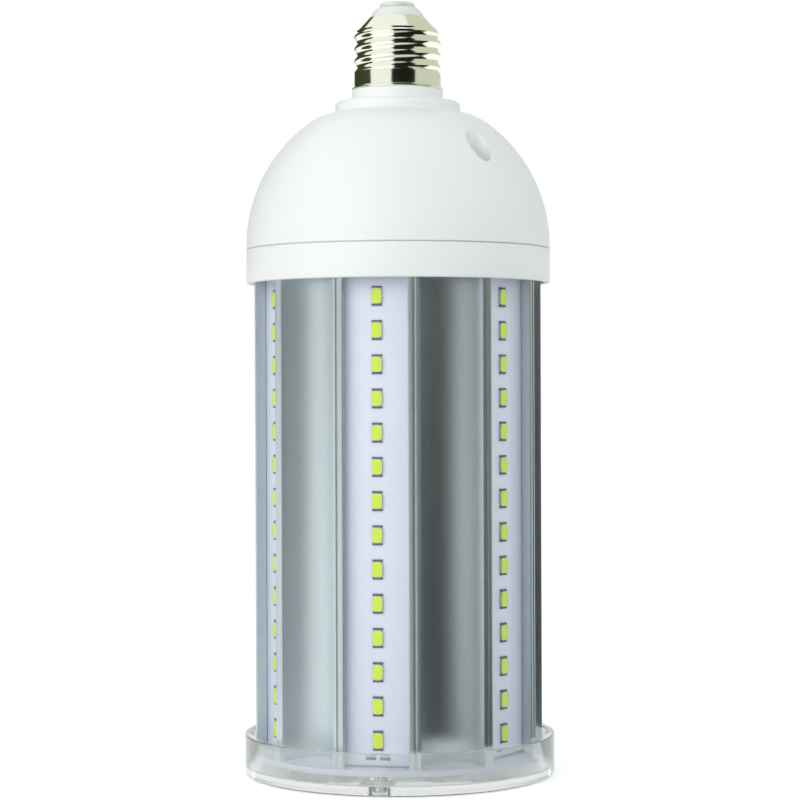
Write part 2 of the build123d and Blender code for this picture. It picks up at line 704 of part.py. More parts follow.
def write(name, shape):
    """One file for each node."""
    solids = shape if isinstance(shape, list) else [shape]
    flat = [solid for item in solids for solid in item.solids()]
    kept = flat[0] if len(flat) == 1 else Compound(children=flat)
    kept.label = name
    export_step(kept, f"parts/{name}.step")


def write_strip(side):
    """A board with its LEDs and their phosphor."""
    turn = turned(side * STEP)
    number = side + 1
    write(f"led_board_{number}", turn * led_board())
    write(f"led_packages_{number}", [turn * led for led in led_row(led_package())])
    write(f"led_phosphor_{number}", [turn * window for window in led_row(led_window())])


def main():
    os.makedirs("parts", exist_ok=True)
    write("end_cap", end_cap())
    write("end_cap_screws", end_cap_screws())
    write("end_board", end_board())
    write("end_led_packages", [place * led_package() for place in end_led_places()])
    write("end_led_phosphor", [place * led_window() for place in end_led_places()])
    write("heat_sink", heat_sink())
    for side in range(SIDES):
        write_strip(side)
    write("housing_ring", housing_ring())
    write("ring_screws", ring_screws())
    write("dome_housing", dome_housing())
    write("dome_screws", dome_screws())
    write("screw_shell", screw_shell())
    write("base_insulator", base_insulator())
    write("center_contact", center_contact())
    write("driver_board", driver_board())
    write("driver_screws", driver_screws())
    write("transformer_core", transformer_core())
    write("transformer_coil", transformer_coil())
    write("input_capacitor", can(BULK_CAPACITOR, on_driver(BULK_CAPACITOR_AT)))
    outputs = [on_driver(share) for share in OUTPUT_CAPACITORS_AT]
    write("output_capacitors", [can(OUTPUT_CAPACITOR, place) for place in outputs])
    write("filter_choke", filter_choke())
    write("film_capacitor", block(FILM_CAPACITOR, DRIVER_TOP, on_driver(FILM_CAPACITOR_AT)))
    write("bridge_rectifier", block(RECTIFIER, DRIVER_TOP, on_driver(RECTIFIER_AT)))
    write("surge_absorber", surge_absorber())
    write("fuse", fuse())
    write("switching_transistor", block(TRANSISTOR, DRIVER_TOP, on_driver(TRANSISTOR_AT)))
    write("strip_leads_positive", strip_leads(STRIP_LEAD_OFFSETS[0]))
    write("strip_leads_negative", strip_leads(STRIP_LEAD_OFFSETS[1]))
    write("end_leads", end_leads())
    write("live_lead", live_lead())
    write("neutral_lead", neutral_lead())


main()
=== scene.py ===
# %% [markdown]
# # A corn-cob LED lamp, dressed for its picture
#
# The CAD model already holds the lamp's sizes and every solid. This lesson loads it as a fixed
# frame and models the pieces that the eye meets again, with soft edges and real finishes. What
# the closed housing hides keeps its CAD mesh and only gets a better material.
# All lengths are in metres. The lamp stands on its clear end cap, screw base up.

import math

import bmesh
import bpy
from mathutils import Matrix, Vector


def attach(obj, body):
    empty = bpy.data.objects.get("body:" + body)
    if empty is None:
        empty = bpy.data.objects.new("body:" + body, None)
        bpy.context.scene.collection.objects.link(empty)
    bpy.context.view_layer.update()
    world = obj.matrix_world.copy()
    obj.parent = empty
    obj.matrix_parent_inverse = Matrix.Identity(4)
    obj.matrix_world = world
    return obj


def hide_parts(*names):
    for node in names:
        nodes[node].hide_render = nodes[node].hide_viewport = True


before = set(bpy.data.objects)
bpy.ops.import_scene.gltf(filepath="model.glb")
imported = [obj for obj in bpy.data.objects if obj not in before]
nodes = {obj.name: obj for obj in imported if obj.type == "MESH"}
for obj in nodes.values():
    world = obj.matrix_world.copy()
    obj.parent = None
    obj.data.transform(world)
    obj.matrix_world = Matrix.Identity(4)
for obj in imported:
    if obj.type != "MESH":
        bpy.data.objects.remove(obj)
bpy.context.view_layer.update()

# %% [markdown]
# ## Sizes
#
# A maker works from a drawing, so the sizes of the lamp come first, each with a name. All but
# those of the dome's top repeat the CAD's, because this script can't read the part's own source.

# %% Sizes of the lamp
CAP_RADIUS, CAP_WALL, CAP_FLOOR, CAP_RIM = 0.0467, 0.0020, 0.0027, 0.0122
BOSS_TOP, SINK_BOTTOM, SINK_TOP = 0.0052, 0.0068, 0.1500
SINK_RADIUS, RAIL_HALF, RAIL_SIDE = 0.0434, 0.0126, 0.0018
LIP_HALF, SLOT_HALF, LIP_BACK, SLOT_FLOOR = 0.00935, 0.0104, 0.03905, 0.0373
GROOVE_AT, GROOVE_WIDTH, GROOVE_DEPTH = 0.01125, 0.0008, 0.0005
CHANNEL_DEPTH, SINK_WALL, CORE_FLAT = 0.0070, 0.0024, 0.0351
PORT_AT, PORT_OUTER, PORT_BORE, PORT_MOUTH = 0.03275, 0.0032, 0.0015, 0.0014
BOARD_HALF, BOARD_BACK, BOARD_FACE = 0.0102, 0.0373, 0.0389
BOARD_BOTTOM, BOARD_TOP = 0.0074, 0.1494
LED_COUNT, LED_PITCH, LED_FIRST = 14, 0.00979, 0.014915
RING_RADIUS, RING_WALL, RING_BOTTOM, RING_TOP = 0.0458, 0.0020, 0.1473, 0.1573
WEB_BOTTOM, WEB_TOP = 0.1500, 0.1525
SEAM_HEIGHT, SEAM_DEPTH, SEAM_EDGE = 0.0004, 0.0009, 0.00012
DOME_CENTRE, DOME_WALL, COLLAR_RADIUS, COLLAR_TOP = 0.1586, 0.0022, 0.0189, 0.2019
TOP_FROM, TOP_ROUND = 0.0280, 0.0188
NECK_RADIUS, NECK_TOP, PLUG_RADIUS, PLUG_BORE, PLUG_TOP = 0.01375, 0.2057, 0.01145, 0.00985, 0.2207
POCKET_RADIUS, POCKET_WALL, POCKET_OUT, POCKET_FLOOR = 0.0037, 0.0018, 0.0360, 0.1620
POCKET_AZIMUTH = 49.5
CREST, ROOT, SHELL_BORE, FLANGE = 0.01315, 0.01233, 0.01155, 0.0139
SKIRT_TOP, SHOULDER, SHELL_TOP, SHELL_MOUTH = 0.2107, 0.2230, 0.2275, 0.0083
THREAD_PITCH, THREAD_RISE = 0.00363, 0.01216
CONTACT_SEAT, CONTACT_RADIUS, CONTACT_TOP = 0.2308, 0.0054, 0.2325
SIDES = 6
MM = 0.001
SCREW_HOLE = 1.7 * MM
print("a lamp", round(2 * CAP_RADIUS, 4), "m across and", CONTACT_TOP, "m tall")

# %% [markdown]
# ## The camera
#
# The photograph was taken level with the middle of the lamp, through a long lens, and from
# slightly to the right of board 1. The camera stands there. The small shift moves the picture
# without turning the camera, as a view camera's rising front does.

# %% Camera
PHOTO_AZIMUTH, PHOTO_DISTANCE, PHOTO_HEIGHT = 9.1, 0.706, 0.1154
LENS, SENSOR = 105.0, 36.0
ROLL, SHIFT = 0.2, (0.00175, -0.01338)


def around(azimuth, out, height):
    """A point at a distance from the lamp's axis; azimuth 0 is -Y and 90 is +X."""
    a = math.radians(azimuth)
    return Vector((out * math.sin(a), -out * math.cos(a), height))


bpy.ops.object.select_all(action="DESELECT")
bpy.ops.object.camera_add(location=around(PHOTO_AZIMUTH, PHOTO_DISTANCE, PHOTO_HEIGHT),
                          rotation=[math.radians(a) for a in (90, ROLL, PHOTO_AZIMUTH)])
camera = bpy.context.object
camera.data.sensor_width = SENSOR
camera.data.lens = LENS
camera.data.shift_x, camera.data.shift_y = SHIFT
bpy.context.scene.camera = camera
print("camera at", tuple(round(x, 3) for x in camera.location))

# %% [markdown]
# ## Light
#
# The lamp stands in a white tent: a broad soft light comes from the left and front, a weaker one
# from the right, and the tent is white all round. The world is white to the camera, to gloss and
# through glass, and a quieter, slightly cool grey as a light. Gloss doesn't see the two lamps, so
# that metal mirrors only the tent and the cards that stand in it, which come last.

# %% World and lamps
WORLD_LIGHT, WORLD_TINT = 0.70, (0.93, 1.0, 1.0, 1)
KEY_POWER, FILL_POWER = 6.7, 1.7
KEY_AZIMUTH, FILL_AZIMUTH, KEY_HEIGHT, FILL_HEIGHT = -40, 95, 0.45, 0.30
LIGHT_DISTANCE, LIGHT_SIZE = 1.2, 1.2


def maths(tree, operation, *inputs):
    """A Math node's result; each input is a number or the socket that feeds it."""
    node = tree.nodes.new("ShaderNodeMath")
    node.operation = operation
    for target, value in zip(node.inputs, inputs):
        if isinstance(value, float):
            target.default_value = value
        else:
            tree.links.new(value, target)
    return node.outputs[0]


def seen_directly(tree):
    """1 for rays of the camera, of gloss and through glass, and 0 for those that only light."""
    path = tree.nodes.new("ShaderNodeLightPath")
    seen = path.outputs["Is Camera Ray"]
    for kind in ("Is Glossy Ray", "Is Transmission Ray"):
        seen = maths(tree, "MAXIMUM", seen, path.outputs[kind])
    return seen


def set_world():
    """White where it is seen, and a quieter, slightly cool light for the rest."""
    world = bpy.data.worlds.new("tent")
    bpy.context.scene.world = world
    world.use_nodes = True
    tree = world.node_tree
    white = tree.nodes["Background"]
    white.inputs["Color"].default_value = (1, 1, 1, 1)
    cool = tree.nodes.new("ShaderNodeBackground")
    cool.inputs["Color"].default_value = WORLD_TINT
    cool.inputs["Strength"].default_value = WORLD_LIGHT
    choose = tree.nodes.new("ShaderNodeMixShader")
    tree.links.new(seen_directly(tree), choose.inputs["Fac"])
    tree.links.new(cool.outputs[0], choose.inputs[1])
    tree.links.new(white.outputs[0], choose.inputs[2])
    tree.links.new(choose.outputs[0], tree.nodes["World Output"].inputs["Surface"])


def soft_lamp(name, azimuth, power, height):
    """A square soft light that faces the lamp; its azimuth counts from the camera's."""
    place = around(PHOTO_AZIMUTH + azimuth, LIGHT_DISTANCE, height)
    bpy.ops.object.light_add(type="AREA", location=place)
    lamp = bpy.context.object
    lamp.name = name
    lamp.data.size = LIGHT_SIZE
    lamp.data.energy = power
    aim = Vector((0, 0, PHOTO_HEIGHT)) - place
    lamp.rotation_euler = aim.to_track_quat("-Z", "Y").to_euler()
    return lamp


set_world()
bpy.context.scene.view_settings.view_transform = "Standard"
key = soft_lamp("key", KEY_AZIMUTH, KEY_POWER, KEY_HEIGHT)
fill = soft_lamp("fill", FILL_AZIMUTH, FILL_POWER, FILL_HEIGHT)
key.visible_glossy = fill.visible_glossy = False
print("lamps:", key.name, fill.name)

# %% [markdown]
# ## Tools of the bench
#
# The same few moves come back in every piece, so each gets a short helper. A piece starts as a
# primitive, is shaped in edit mode, and ends as its own mesh with its place in its points.

# %% Selecting and editing
WELD = 0.000002
FACING = 0.9


def let_go():
    """Back to object mode with nothing selected, since operators act on all that is."""
    if bpy.context.mode != "OBJECT":
        bpy.ops.object.mode_set(mode="OBJECT")
    bpy.ops.object.select_all(action="DESELECT")


def take(*pieces):
    """Selects these pieces alone and makes the last one active."""
    let_go()
    for piece in pieces:
        piece.select_set(True)
    bpy.context.view_layer.objects.active = pieces[-1]


def edit(piece, kind="VERT"):
    """Opens one piece in edit mode with none of its parts selected."""
    take(piece)
    bpy.ops.object.mode_set(mode="EDIT")
    bpy.ops.mesh.select_mode(type=kind)
    bpy.ops.mesh.select_all(action="DESELECT")


def select_faces(piece, test):
    """In edit mode, selects the faces that pass a test."""
    mesh = bmesh.from_edit_mesh(piece.data)
    for face in mesh.faces:
        if test(face):
            face.select_set(True)
    bmesh.update_edit_mesh(piece.data)


def select_edges(piece, test):
    """In edit mode, selects the edges that pass a test."""
    mesh = bmesh.from_edit_mesh(piece.data)
    for edge in mesh.edges:
        if test(edge):
            edge.select_set(True)
    bmesh.update_edit_mesh(piece.data)


def settle(piece, name):
    """Names a piece and puts its place, turn and scale into its mesh."""
    take(piece)
    piece.name = piece.data.name = name
    bpy.ops.object.transform_apply(location=True, rotation=True, scale=True)
    return piece


def copy_of(piece, name, place=(0, 0, 0), turn=(0, 0, 0)):
    """A copy with a mesh of its own, moved and turned about the origin."""
    take(piece)
    bpy.ops.object.duplicate(linked=False)
    twin = bpy.context.object
    twin.rotation_euler = [math.radians(a) for a in turn]
    twin.location = place
    return settle(twin, name)


def joined(pieces, name):
    """Several pieces made one."""
    take(*pieces)
    if len(pieces) > 1:
        bpy.ops.object.join()
    return settle(bpy.context.object, name)


def apply_modifier(piece, kind, **settings):
    """Adds a modifier with these settings and applies it."""
    modifier = piece.modifiers.new(kind.lower(), kind)
    for key_name, value in settings.items():
        setattr(modifier, key_name, value)
    take(piece)
    bpy.ops.object.modifier_apply(modifier=modifier.name)


def soften(piece, width, segments=2, sharper_than=35):
    """Rounds the edges that are sharper than an angle."""
    apply_modifier(piece, "BEVEL", width=width, segments=segments, limit_method="ANGLE",
                   angle_limit=math.radians(sharper_than))


def combine(piece, tool, operation="DIFFERENCE"):
    """Cuts a tool out of a piece, or adds it, and throws the tool away."""
    apply_modifier(piece, "BOOLEAN", object=tool, operation=operation, solver="EXACT")
    bpy.data.objects.remove(tool)


def shade(piece, degrees=32):
    """Smooth shading that keeps the real edges crisp."""
    take(piece)
    bpy.ops.object.shade_smooth_by_angle(angle=math.radians(degrees))
    let_go()
    return piece


print("helpers ready")

# %% [markdown]
# Turned and extruded things start as a drawn line. By hand, one point is pulled out of the last
# with Extrude until the section is drawn. Corners that a tool would leave round are drawn round.

# %% Drawing a section, spinning it, pushing it up
ROUND_STEPS = 120


def rounded(corners, steps=4):
    """Points of a closed line through (x, y, radius) corners, each rounded to its radius."""
    points = []
    for i, (x, y, radius) in enumerate(corners):
        here = Vector((x, y))
        if radius == 0:
            points.append(here)
            continue
        back = (Vector(corners[i - 1][:2]) - here).normalized()
        ahead = (Vector(corners[(i + 1) % len(corners)][:2]) - here).normalized()
        half = back.angle(ahead) / 2
        centre = here + (back + ahead).normalized() * (radius / math.sin(half))
        reach = radius / math.tan(half)
        points += arc(centre, here + back * reach, here + ahead * reach, steps)
    return points


def arc(centre, start, end, steps):
    """Points of the shorter arc round a centre, both ends included."""
    a, b = Vector(start) - centre, Vector(end) - centre
    first = math.atan2(a.y, a.x)
    sweep = (math.atan2(b.y, b.x) - first + math.pi) % math.tau - math.pi
    angles = [first + sweep * i / steps for i in range(steps + 1)]
    return [centre + a.length * Vector((math.cos(t), math.sin(t))) for t in angles]


def draw(name, points):
    """Draws a line through 3-D points by pulling each out of the one before."""
    let_go()
    bpy.ops.mesh.primitive_plane_add(size=MM, location=points[0])
    piece = settle(bpy.context.object, name)
    edit(piece)
    bpy.ops.mesh.select_all(action="SELECT")
    bpy.ops.mesh.merge(type="CENTER")
    for here, there in zip(points, points[1:]):
        bpy.ops.mesh.extrude_vertices_move(TRANSFORM_OT_translate={"value": there - here})
    return piece


def weld(piece):
    """Merges doubled points and turns the faces outwards."""
    bpy.ops.mesh.select_all(action="SELECT")
    bpy.ops.mesh.remove_doubles(threshold=WELD)
    bpy.ops.mesh.normals_make_consistent(inside=False)
    bpy.ops.object.mode_set(mode="OBJECT")


def turned(name, section, steps=ROUND_STEPS):
    """Spins a closed half section of (radius, height) points once round the axis."""
    points = [Vector((r, 0, z)) for r, z in [*section, section[0]]]
    piece = draw(name, points)
    bpy.ops.mesh.select_all(action="SELECT")
    bpy.ops.mesh.spin(steps=steps, angle=math.tau, center=(0, 0, 0), axis=(0, 0, 1))
    weld(piece)
    return piece


corner = rounded([(0, 0, 0), (1, 0, 0.001), (1, 1, 0)])
print("a right angle rounded to 1 mm:", len(corner), "points")

# %% [markdown]
# ## Finishes
#
# Three effects are used by many materials, so each is a node group: a slow drift of tone and
# gloss, the fine grain of a moulded skin, and the long lines that a die draws in aluminium.
# Each gives a colour or a number that changes over the surface; the shader stays outside.

# %% Node helpers
def add_node(tree, kind, **values):
    """A node with its inputs set by name."""
    made = tree.nodes.new(kind)
    for label, value in values.items():
        made.inputs[label.replace("_", " ")].default_value = value
    return made


def new_effect(name, inputs, outputs):
    """An empty node group with named sockets."""
    group = bpy.data.node_groups.new(name, "ShaderNodeTree")
    for label, kind, value in inputs:
        socket = group.interface.new_socket(name=label, in_out="INPUT", socket_type=kind)
        if value is not None:
            socket.default_value = value
    for label, kind in outputs:
        group.interface.new_socket(name=label, in_out="OUTPUT", socket_type=kind)
    return group, group.nodes.new("NodeGroupInput"), group.nodes.new("NodeGroupOutput")


def use_effect(material, group, **values):
    """The effect placed in a material, reading the piece's own coordinates."""
    tree = material.node_tree
    placed = tree.nodes.new("ShaderNodeGroup")
    placed.node_tree = group
    for label, value in values.items():
        placed.inputs[label].default_value = value
    place = tree.nodes.get("Texture Coordinate") or tree.nodes.new("ShaderNodeTexCoord")
    tree.links.new(place.outputs["Object"], placed.inputs["Place"])
    return placed


def new_finish(name, colour, roughness, metallic=0.0, **plain):
    """A material whose plain values sit on the shader's own sockets."""
    material = bpy.data.materials.new(name)
    material.use_nodes = True
    shader = material.node_tree.nodes["Principled BSDF"]
    shader.inputs["Base Color"].default_value = (*colour, 1)
    shader.inputs["Roughness"].default_value = roughness
    shader.inputs["Metallic"].default_value = metallic
    for label, value in plain.items():
        shader.inputs[label.replace("_", " ")].default_value = value
    return material, shader


def feed(material, source, target):
    """Links two sockets of a material."""
    material.node_tree.links.new(source, target)


print("node helpers ready")

# %% The shared effects
VECTOR, COLOUR, NUMBER = "NodeSocketVector", "NodeSocketColor", "NodeSocketFloat"
LINE_STRETCH, STREAK_WIDTH = 0.01, 0.22


def make_drift():
    """Slow change of tone and of roughness, as hands, moulds and plating baths leave it."""
    group, given, result = new_effect(
        "tone drift",
        [("Place", VECTOR, None), ("Colour", COLOUR, (1, 1, 1, 1)), ("Roughness", NUMBER, 0.4),
         ("Size", NUMBER, 40.0), ("Tone", NUMBER, 0.03), ("Gloss", NUMBER, 0.05)],
        [("Colour", COLOUR), ("Roughness", NUMBER)])
    link = group.links.new
    cloud = add_node(group, "ShaderNodeTexNoise", Detail=3.0)
    link(given.outputs["Place"], cloud.inputs["Vector"])
    link(given.outputs["Size"], cloud.inputs["Scale"])
    centred = maths(group, "SUBTRACT", cloud.outputs[0], 0.5)
    tint = group.nodes.new("ShaderNodeHueSaturation")
    link(maths(group, "MULTIPLY_ADD", centred, given.outputs["Tone"], 1.0), tint.inputs["Value"])
    link(given.outputs["Colour"], tint.inputs["Color"])
    link(tint.outputs["Color"], result.inputs["Colour"])
    link(maths(group, "MULTIPLY_ADD", centred, given.outputs["Gloss"], given.outputs["Roughness"]),
         result.inputs["Roughness"])
    return group


def make_grain():
    """Fine pebbled height of a moulded or cast skin."""
    group, given, result = new_effect(
        "moulded grain",
        [("Place", VECTOR, None), ("Fineness", NUMBER, 2500.0)],
        [("Height", NUMBER)])
    link = group.links.new
    fine = add_node(group, "ShaderNodeTexNoise", Detail=2.0, Roughness=0.6)
    link(given.outputs["Place"], fine.inputs["Vector"])
    link(given.outputs["Fineness"], fine.inputs["Scale"])
    link(fine.outputs[0], result.inputs["Height"])
    return group


def make_drawn_lines():
    """Long upright lines: quick changes across, hardly any along the lamp."""
    group, given, result = new_effect(
        "drawn lines",
        [("Place", VECTOR, None), ("Fineness", NUMBER, 3000.0)],
        [("Height", NUMBER), ("Streak", NUMBER)])
    link = group.links.new
    long_way = group.nodes.new("ShaderNodeVectorMath")
    long_way.operation = "MULTIPLY"
    long_way.inputs[1].default_value = (1, 1, LINE_STRETCH)
    link(given.outputs["Place"], long_way.inputs[0])
    fine = add_node(group, "ShaderNodeTexNoise", Detail=3.0, Roughness=0.7)
    link(long_way.outputs[0], fine.inputs["Vector"])
    link(given.outputs["Fineness"], fine.inputs["Scale"])
    broad = add_node(group, "ShaderNodeTexNoise", Detail=2.0)
    link(long_way.outputs[0], broad.inputs["Vector"])
    link(maths(group, "MULTIPLY", given.outputs["Fineness"], STREAK_WIDTH), broad.inputs["Scale"])
    link(fine.outputs[0], result.inputs["Height"])
    link(broad.outputs[0], result.inputs["Streak"])
    return group


tone_drift, moulded_grain, drawn_lines = make_drift(), make_grain(), make_drawn_lines()
print("effects:", [g.name for g in (tone_drift, moulded_grain, drawn_lines)])

# %% A finish with drift and a bumped skin
def dressed(name, colour, roughness, metallic=0.0, size=40.0, tone=0.04, gloss=0.06,
            skin=None, fineness=2500.0, depth=0.00001, **plain):
    """A material whose tone and gloss drift, with a skin of grain or drawn lines."""
    material, shader = new_finish(name, colour, roughness, metallic, **plain)
    drift = use_effect(material, tone_drift, Colour=(*colour, 1), Roughness=roughness,
                       Size=size, Tone=tone, Gloss=gloss)
    feed(material, drift.outputs["Colour"], shader.inputs["Base Color"])
    feed(material, drift.outputs["Roughness"], shader.inputs["Roughness"])
    if skin:
        height = use_effect(material, skin, Fineness=fineness)
        bump = add_node(material.node_tree, "ShaderNodeBump", Distance=depth)
        feed(material, height.outputs["Height"], bump.inputs["Height"])
        feed(material, bump.outputs["Normal"], shader.inputs["Normal"])
    return material


def give(piece, material, slot_name, *replaced):
    """Paints a piece, hangs it on the lamp's one body, and hides the CAD nodes it stands for."""
    piece.data.materials.clear()
    piece.data.materials.append(material)
    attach(piece, "root")
    if replaced:
        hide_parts(*replaced)
    print(piece.name, "faces:", len(piece.data.polygons))
    return piece


white_plastic = dressed("white moulded plastic", (0.95, 0.95, 0.94), 0.42, size=30, tone=0.015,
                        skin=moulded_grain, fineness=1800, depth=0.00002)
print("first finish:", white_plastic.name)

# %% [markdown]
# ## The white housing
#
# The dome is one thin injection moulding: a ball-shaped shell, a low collar on top, a short neck,
# and a plug that the screw shell is pressed over. It could be a sphere cut with Bisect, but its
# collar, neck and wall thickness are all turned shapes, so the half section is drawn once and
# spun. Near the collar the real dome is flatter than a ball, so a tighter round takes over there.
# Two deep pockets for the screws are then bored into the shoulder.

# %% Dome
def ball_arc(radius, start, end, steps):
    """Points of an arc of the dome's ball, between two distances from the axis."""
    heights = [math.sqrt(max(radius ** 2 - r ** 2, 0)) for r in (start, end)]
    centre = Vector((0, DOME_CENTRE))
    return arc(centre, centre + Vector((start, heights[0])),
               centre + Vector((end, heights[1])), steps)


def top_arc(end):
    """The tighter round that flattens the ball's top, from TOP_FROM in to a distance out."""
    rise = math.sqrt(RING_RADIUS ** 2 - TOP_FROM ** 2)
    inwards = 1 - TOP_ROUND / RING_RADIUS
    centre = Vector((TOP_FROM * inwards, DOME_CENTRE + rise * inwards))
    across = end - centre.x
    stop = centre + Vector((across, math.sqrt(TOP_ROUND ** 2 - across ** 2)))
    return arc(centre, (TOP_FROM, DOME_CENTRE + rise), stop, 10)[1:]


def dome_section():
    """Half section of shell, collar, neck and plug, from the outer foot over the top and back."""
    inner = RING_RADIUS - DOME_WALL
    lip = RING_RADIUS - RING_WALL - 0.1 * MM
    outer = ball_arc(RING_RADIUS, RING_RADIUS, TOP_FROM, 20) + top_arc(COLLAR_RADIUS + 1.3 * MM)
    meets = top_arc(COLLAR_RADIUS)[-1].y
    under = ball_arc(inner, PLUG_BORE, inner, 20)
    start = outer[-1]
    top = rounded([
        (start.x, start.y, 0), (COLLAR_RADIUS, meets + 0.1 * MM, 1.0 * MM),
        (COLLAR_RADIUS, COLLAR_TOP, 1.0 * MM), (NECK_RADIUS, COLLAR_TOP, 0.4 * MM),
        (NECK_RADIUS, NECK_TOP, 0.25 * MM), (PLUG_RADIUS, NECK_TOP, 0),
        (PLUG_RADIUS, PLUG_TOP, 0.3 * MM), (PLUG_BORE, PLUG_TOP, 0.2 * MM),
        (PLUG_BORE, under[0].y, 0)])
    foot = [
        Vector((inner, RING_TOP - 2 * MM)), Vector((lip, RING_TOP - 2 * MM)),
        Vector((lip, RING_TOP)), Vector((RING_RADIUS - SEAM_DEPTH, RING_TOP)),
        Vector((RING_RADIUS - SEAM_DEPTH, RING_TOP + SEAM_HEIGHT)),
        Vector((RING_RADIUS - SEAM_EDGE, RING_TOP + SEAM_HEIGHT)),
        Vector((RING_RADIUS, RING_TOP + SEAM_HEIGHT + SEAM_EDGE))]
    return outer + top[1:] + under[1:] + foot


def pocket_part(radius, bottom, top, edge):
    """A cylinder that stands where the first pocket is, with its foot rounded."""
    let_go()
    bpy.ops.mesh.primitive_cylinder_add(vertices=48, radius=radius, depth=top - bottom)
    tool = bpy.context.object
    edit(tool, "FACE")
    select_faces(tool, lambda face: face.normal.z < -FACING)
    bpy.ops.mesh.bevel(offset=edge, segments=4, affect="EDGES")
    bpy.ops.object.mode_set(mode="OBJECT")
    tool.location = around(0, POCKET_OUT, (top + bottom) / 2)
    return settle(tool, "pocket tool")


def bore_pockets(dome):
    """Adds a tube round each pocket inside the ball, then bores the pocket and its screw hole."""
    clear = 0.2 * MM
    for azimuth in (POCKET_AZIMUTH, POCKET_AZIMUTH + 180):
        tube = pocket_part(POCKET_RADIUS + POCKET_WALL, POCKET_FLOOR - 2 * MM, COLLAR_TOP, 0.3 * MM)
        ball_radius = RING_RADIUS - DOME_WALL / 2
        bpy.ops.mesh.primitive_uv_sphere_add(segments=96, ring_count=48, radius=ball_radius,
                                             location=(0, 0, DOME_CENTRE))
        combine(tube, settle(bpy.context.object, "ball"), "INTERSECT")
        tools = [(tube, "UNION")]
        bore = pocket_part(POCKET_RADIUS, POCKET_FLOOR, COLLAR_TOP, 0.4 * MM)
        hole = pocket_part(SCREW_HOLE, POCKET_FLOOR - 3 * MM, POCKET_FLOOR + clear, clear / 2)
        tools += [(bore, "DIFFERENCE"), (hole, "DIFFERENCE")]
        for tool, operation in tools:
            tool.rotation_euler.z = math.radians(azimuth)
            combine(dome, settle(tool, "tool"), operation)


dome = turned("dome_shell", dome_section())
bore_pockets(dome)
give(shade(dome), white_plastic, "white_housing", "dome_housing")

# %% [markdown]
# The ring below the dome is a second moulding: an outer wall with a softly rounded lower edge, and
# a web across it that is screwed down on the heat sink. It is spun in the same way. Bosses for
# the dome's screws and posts for the driver board stand on the web, and holes pass through it.

# %% Housing ring
BOSS_RADIUS, POST_RADIUS, POST_OUT, POST_TOP = 0.0042, 0.0028, 0.0240, 0.1572
POST_AZIMUTHS = (20, 140, 260)
SCREW_AZIMUTHS = (0, 120, 240)


def upright(radius, bottom, top, azimuth, out, sides=32):
    """A cylinder that stands between two heights at an azimuth and a distance out."""
    let_go()
    bpy.ops.mesh.primitive_cylinder_add(vertices=sides, radius=radius, depth=top - bottom,
                                        location=around(azimuth, out, (top + bottom) / 2))
    return settle(bpy.context.object, "upright")


def ring_section():
    """Half section of the ring's wall and web."""
    inner = RING_RADIUS - RING_WALL
    return [Vector((0, WEB_BOTTOM))] + rounded([
        (inner, WEB_BOTTOM, 0.3 * MM), (inner, RING_BOTTOM, 0.3 * MM),
        (RING_RADIUS, RING_BOTTOM, 0.5 * MM), (RING_RADIUS, RING_TOP, SEAM_EDGE),
        (inner, RING_TOP, 0.2 * MM), (inner, WEB_TOP, 0.4 * MM),
        (0, WEB_TOP, 0)])


def fit_out_ring(ring):
    """Bosses, posts and holes, each added or bored where the CAD has it."""
    for azimuth in (POCKET_AZIMUTH, POCKET_AZIMUTH + 180):
        boss = upright(BOSS_RADIUS, WEB_TOP - MM, POCKET_FLOOR - 2 * MM, azimuth, POCKET_OUT)
        combine(ring, boss, "UNION")
        combine(ring, upright(1.5 * MM, WEB_BOTTOM, POCKET_FLOOR, azimuth, POCKET_OUT))
    for azimuth in POST_AZIMUTHS:
        combine(ring, upright(POST_RADIUS, WEB_TOP - MM, POST_TOP, azimuth, POST_OUT), "UNION")
        combine(ring, upright(1.1 * MM, POST_TOP - 3.5 * MM, POST_TOP + MM, azimuth, POST_OUT))
    for azimuth in SCREW_AZIMUTHS:
        combine(ring, upright(SCREW_HOLE, WEB_BOTTOM - MM, WEB_TOP + MM, azimuth, PORT_AT))


ring = turned("housing_ring_shell", ring_section())
fit_out_ring(ring)
give(shade(ring), white_plastic, "white_housing", "housing_ring")

# %% [markdown]
# ## The screw base
#
# A screw shell is thin brass sheet, nickel plated, with a thread rolled through it: the crests
# and the valleys are equally round. A Screw modifier would wind a thread but leave its two ends
# open, so the shell is spun with many close rings, and each point is then pushed out or in by
# where it stands on the helix. The wave fades out at the skirt and at the shoulder.

# %% Screw shell
THREAD_ROWS = 56


def smoothstep(x):
    """A soft 0 to 1 ramp."""
    x = min(max(x, 0.0), 1.0)
    return x * x * (3 - 2 * x)


def shell_section():
    """Half section of the shell, with close rows where the thread will be."""
    slope = (SHELL_TOP - SHOULDER) / (CREST - SHELL_MOUTH - 0.5 * MM)
    low, high = SKIRT_TOP - 0.3 * MM, SHOULDER + 0.6 * MM
    rows = [Vector((ROOT, low + (high - low) * i / THREAD_ROWS)) for i in range(THREAD_ROWS + 1)]
    foot = rounded([
        (SHELL_BORE, NECK_TOP, 0), (FLANGE, NECK_TOP, 0.2 * MM),
        (FLANGE, NECK_TOP + 0.5 * MM, 0.2 * MM), (CREST, NECK_TOP + 0.9 * MM, 0.15 * MM),
        (CREST, low, 0)])
    inside = SHOULDER - 0.7 * MM + (CREST - SHELL_BORE) * slope
    top = rounded([
        (ROOT, high, 0), (SHELL_MOUTH + 0.5 * MM, SHELL_TOP, 0.3 * MM),
        (SHELL_MOUTH, SHELL_TOP, 0.15 * MM), (SHELL_MOUTH, SHELL_TOP - 0.4 * MM, 0),
        (SHELL_BORE, inside, 0)])
    return foot[:-1] + rows + top[1:]


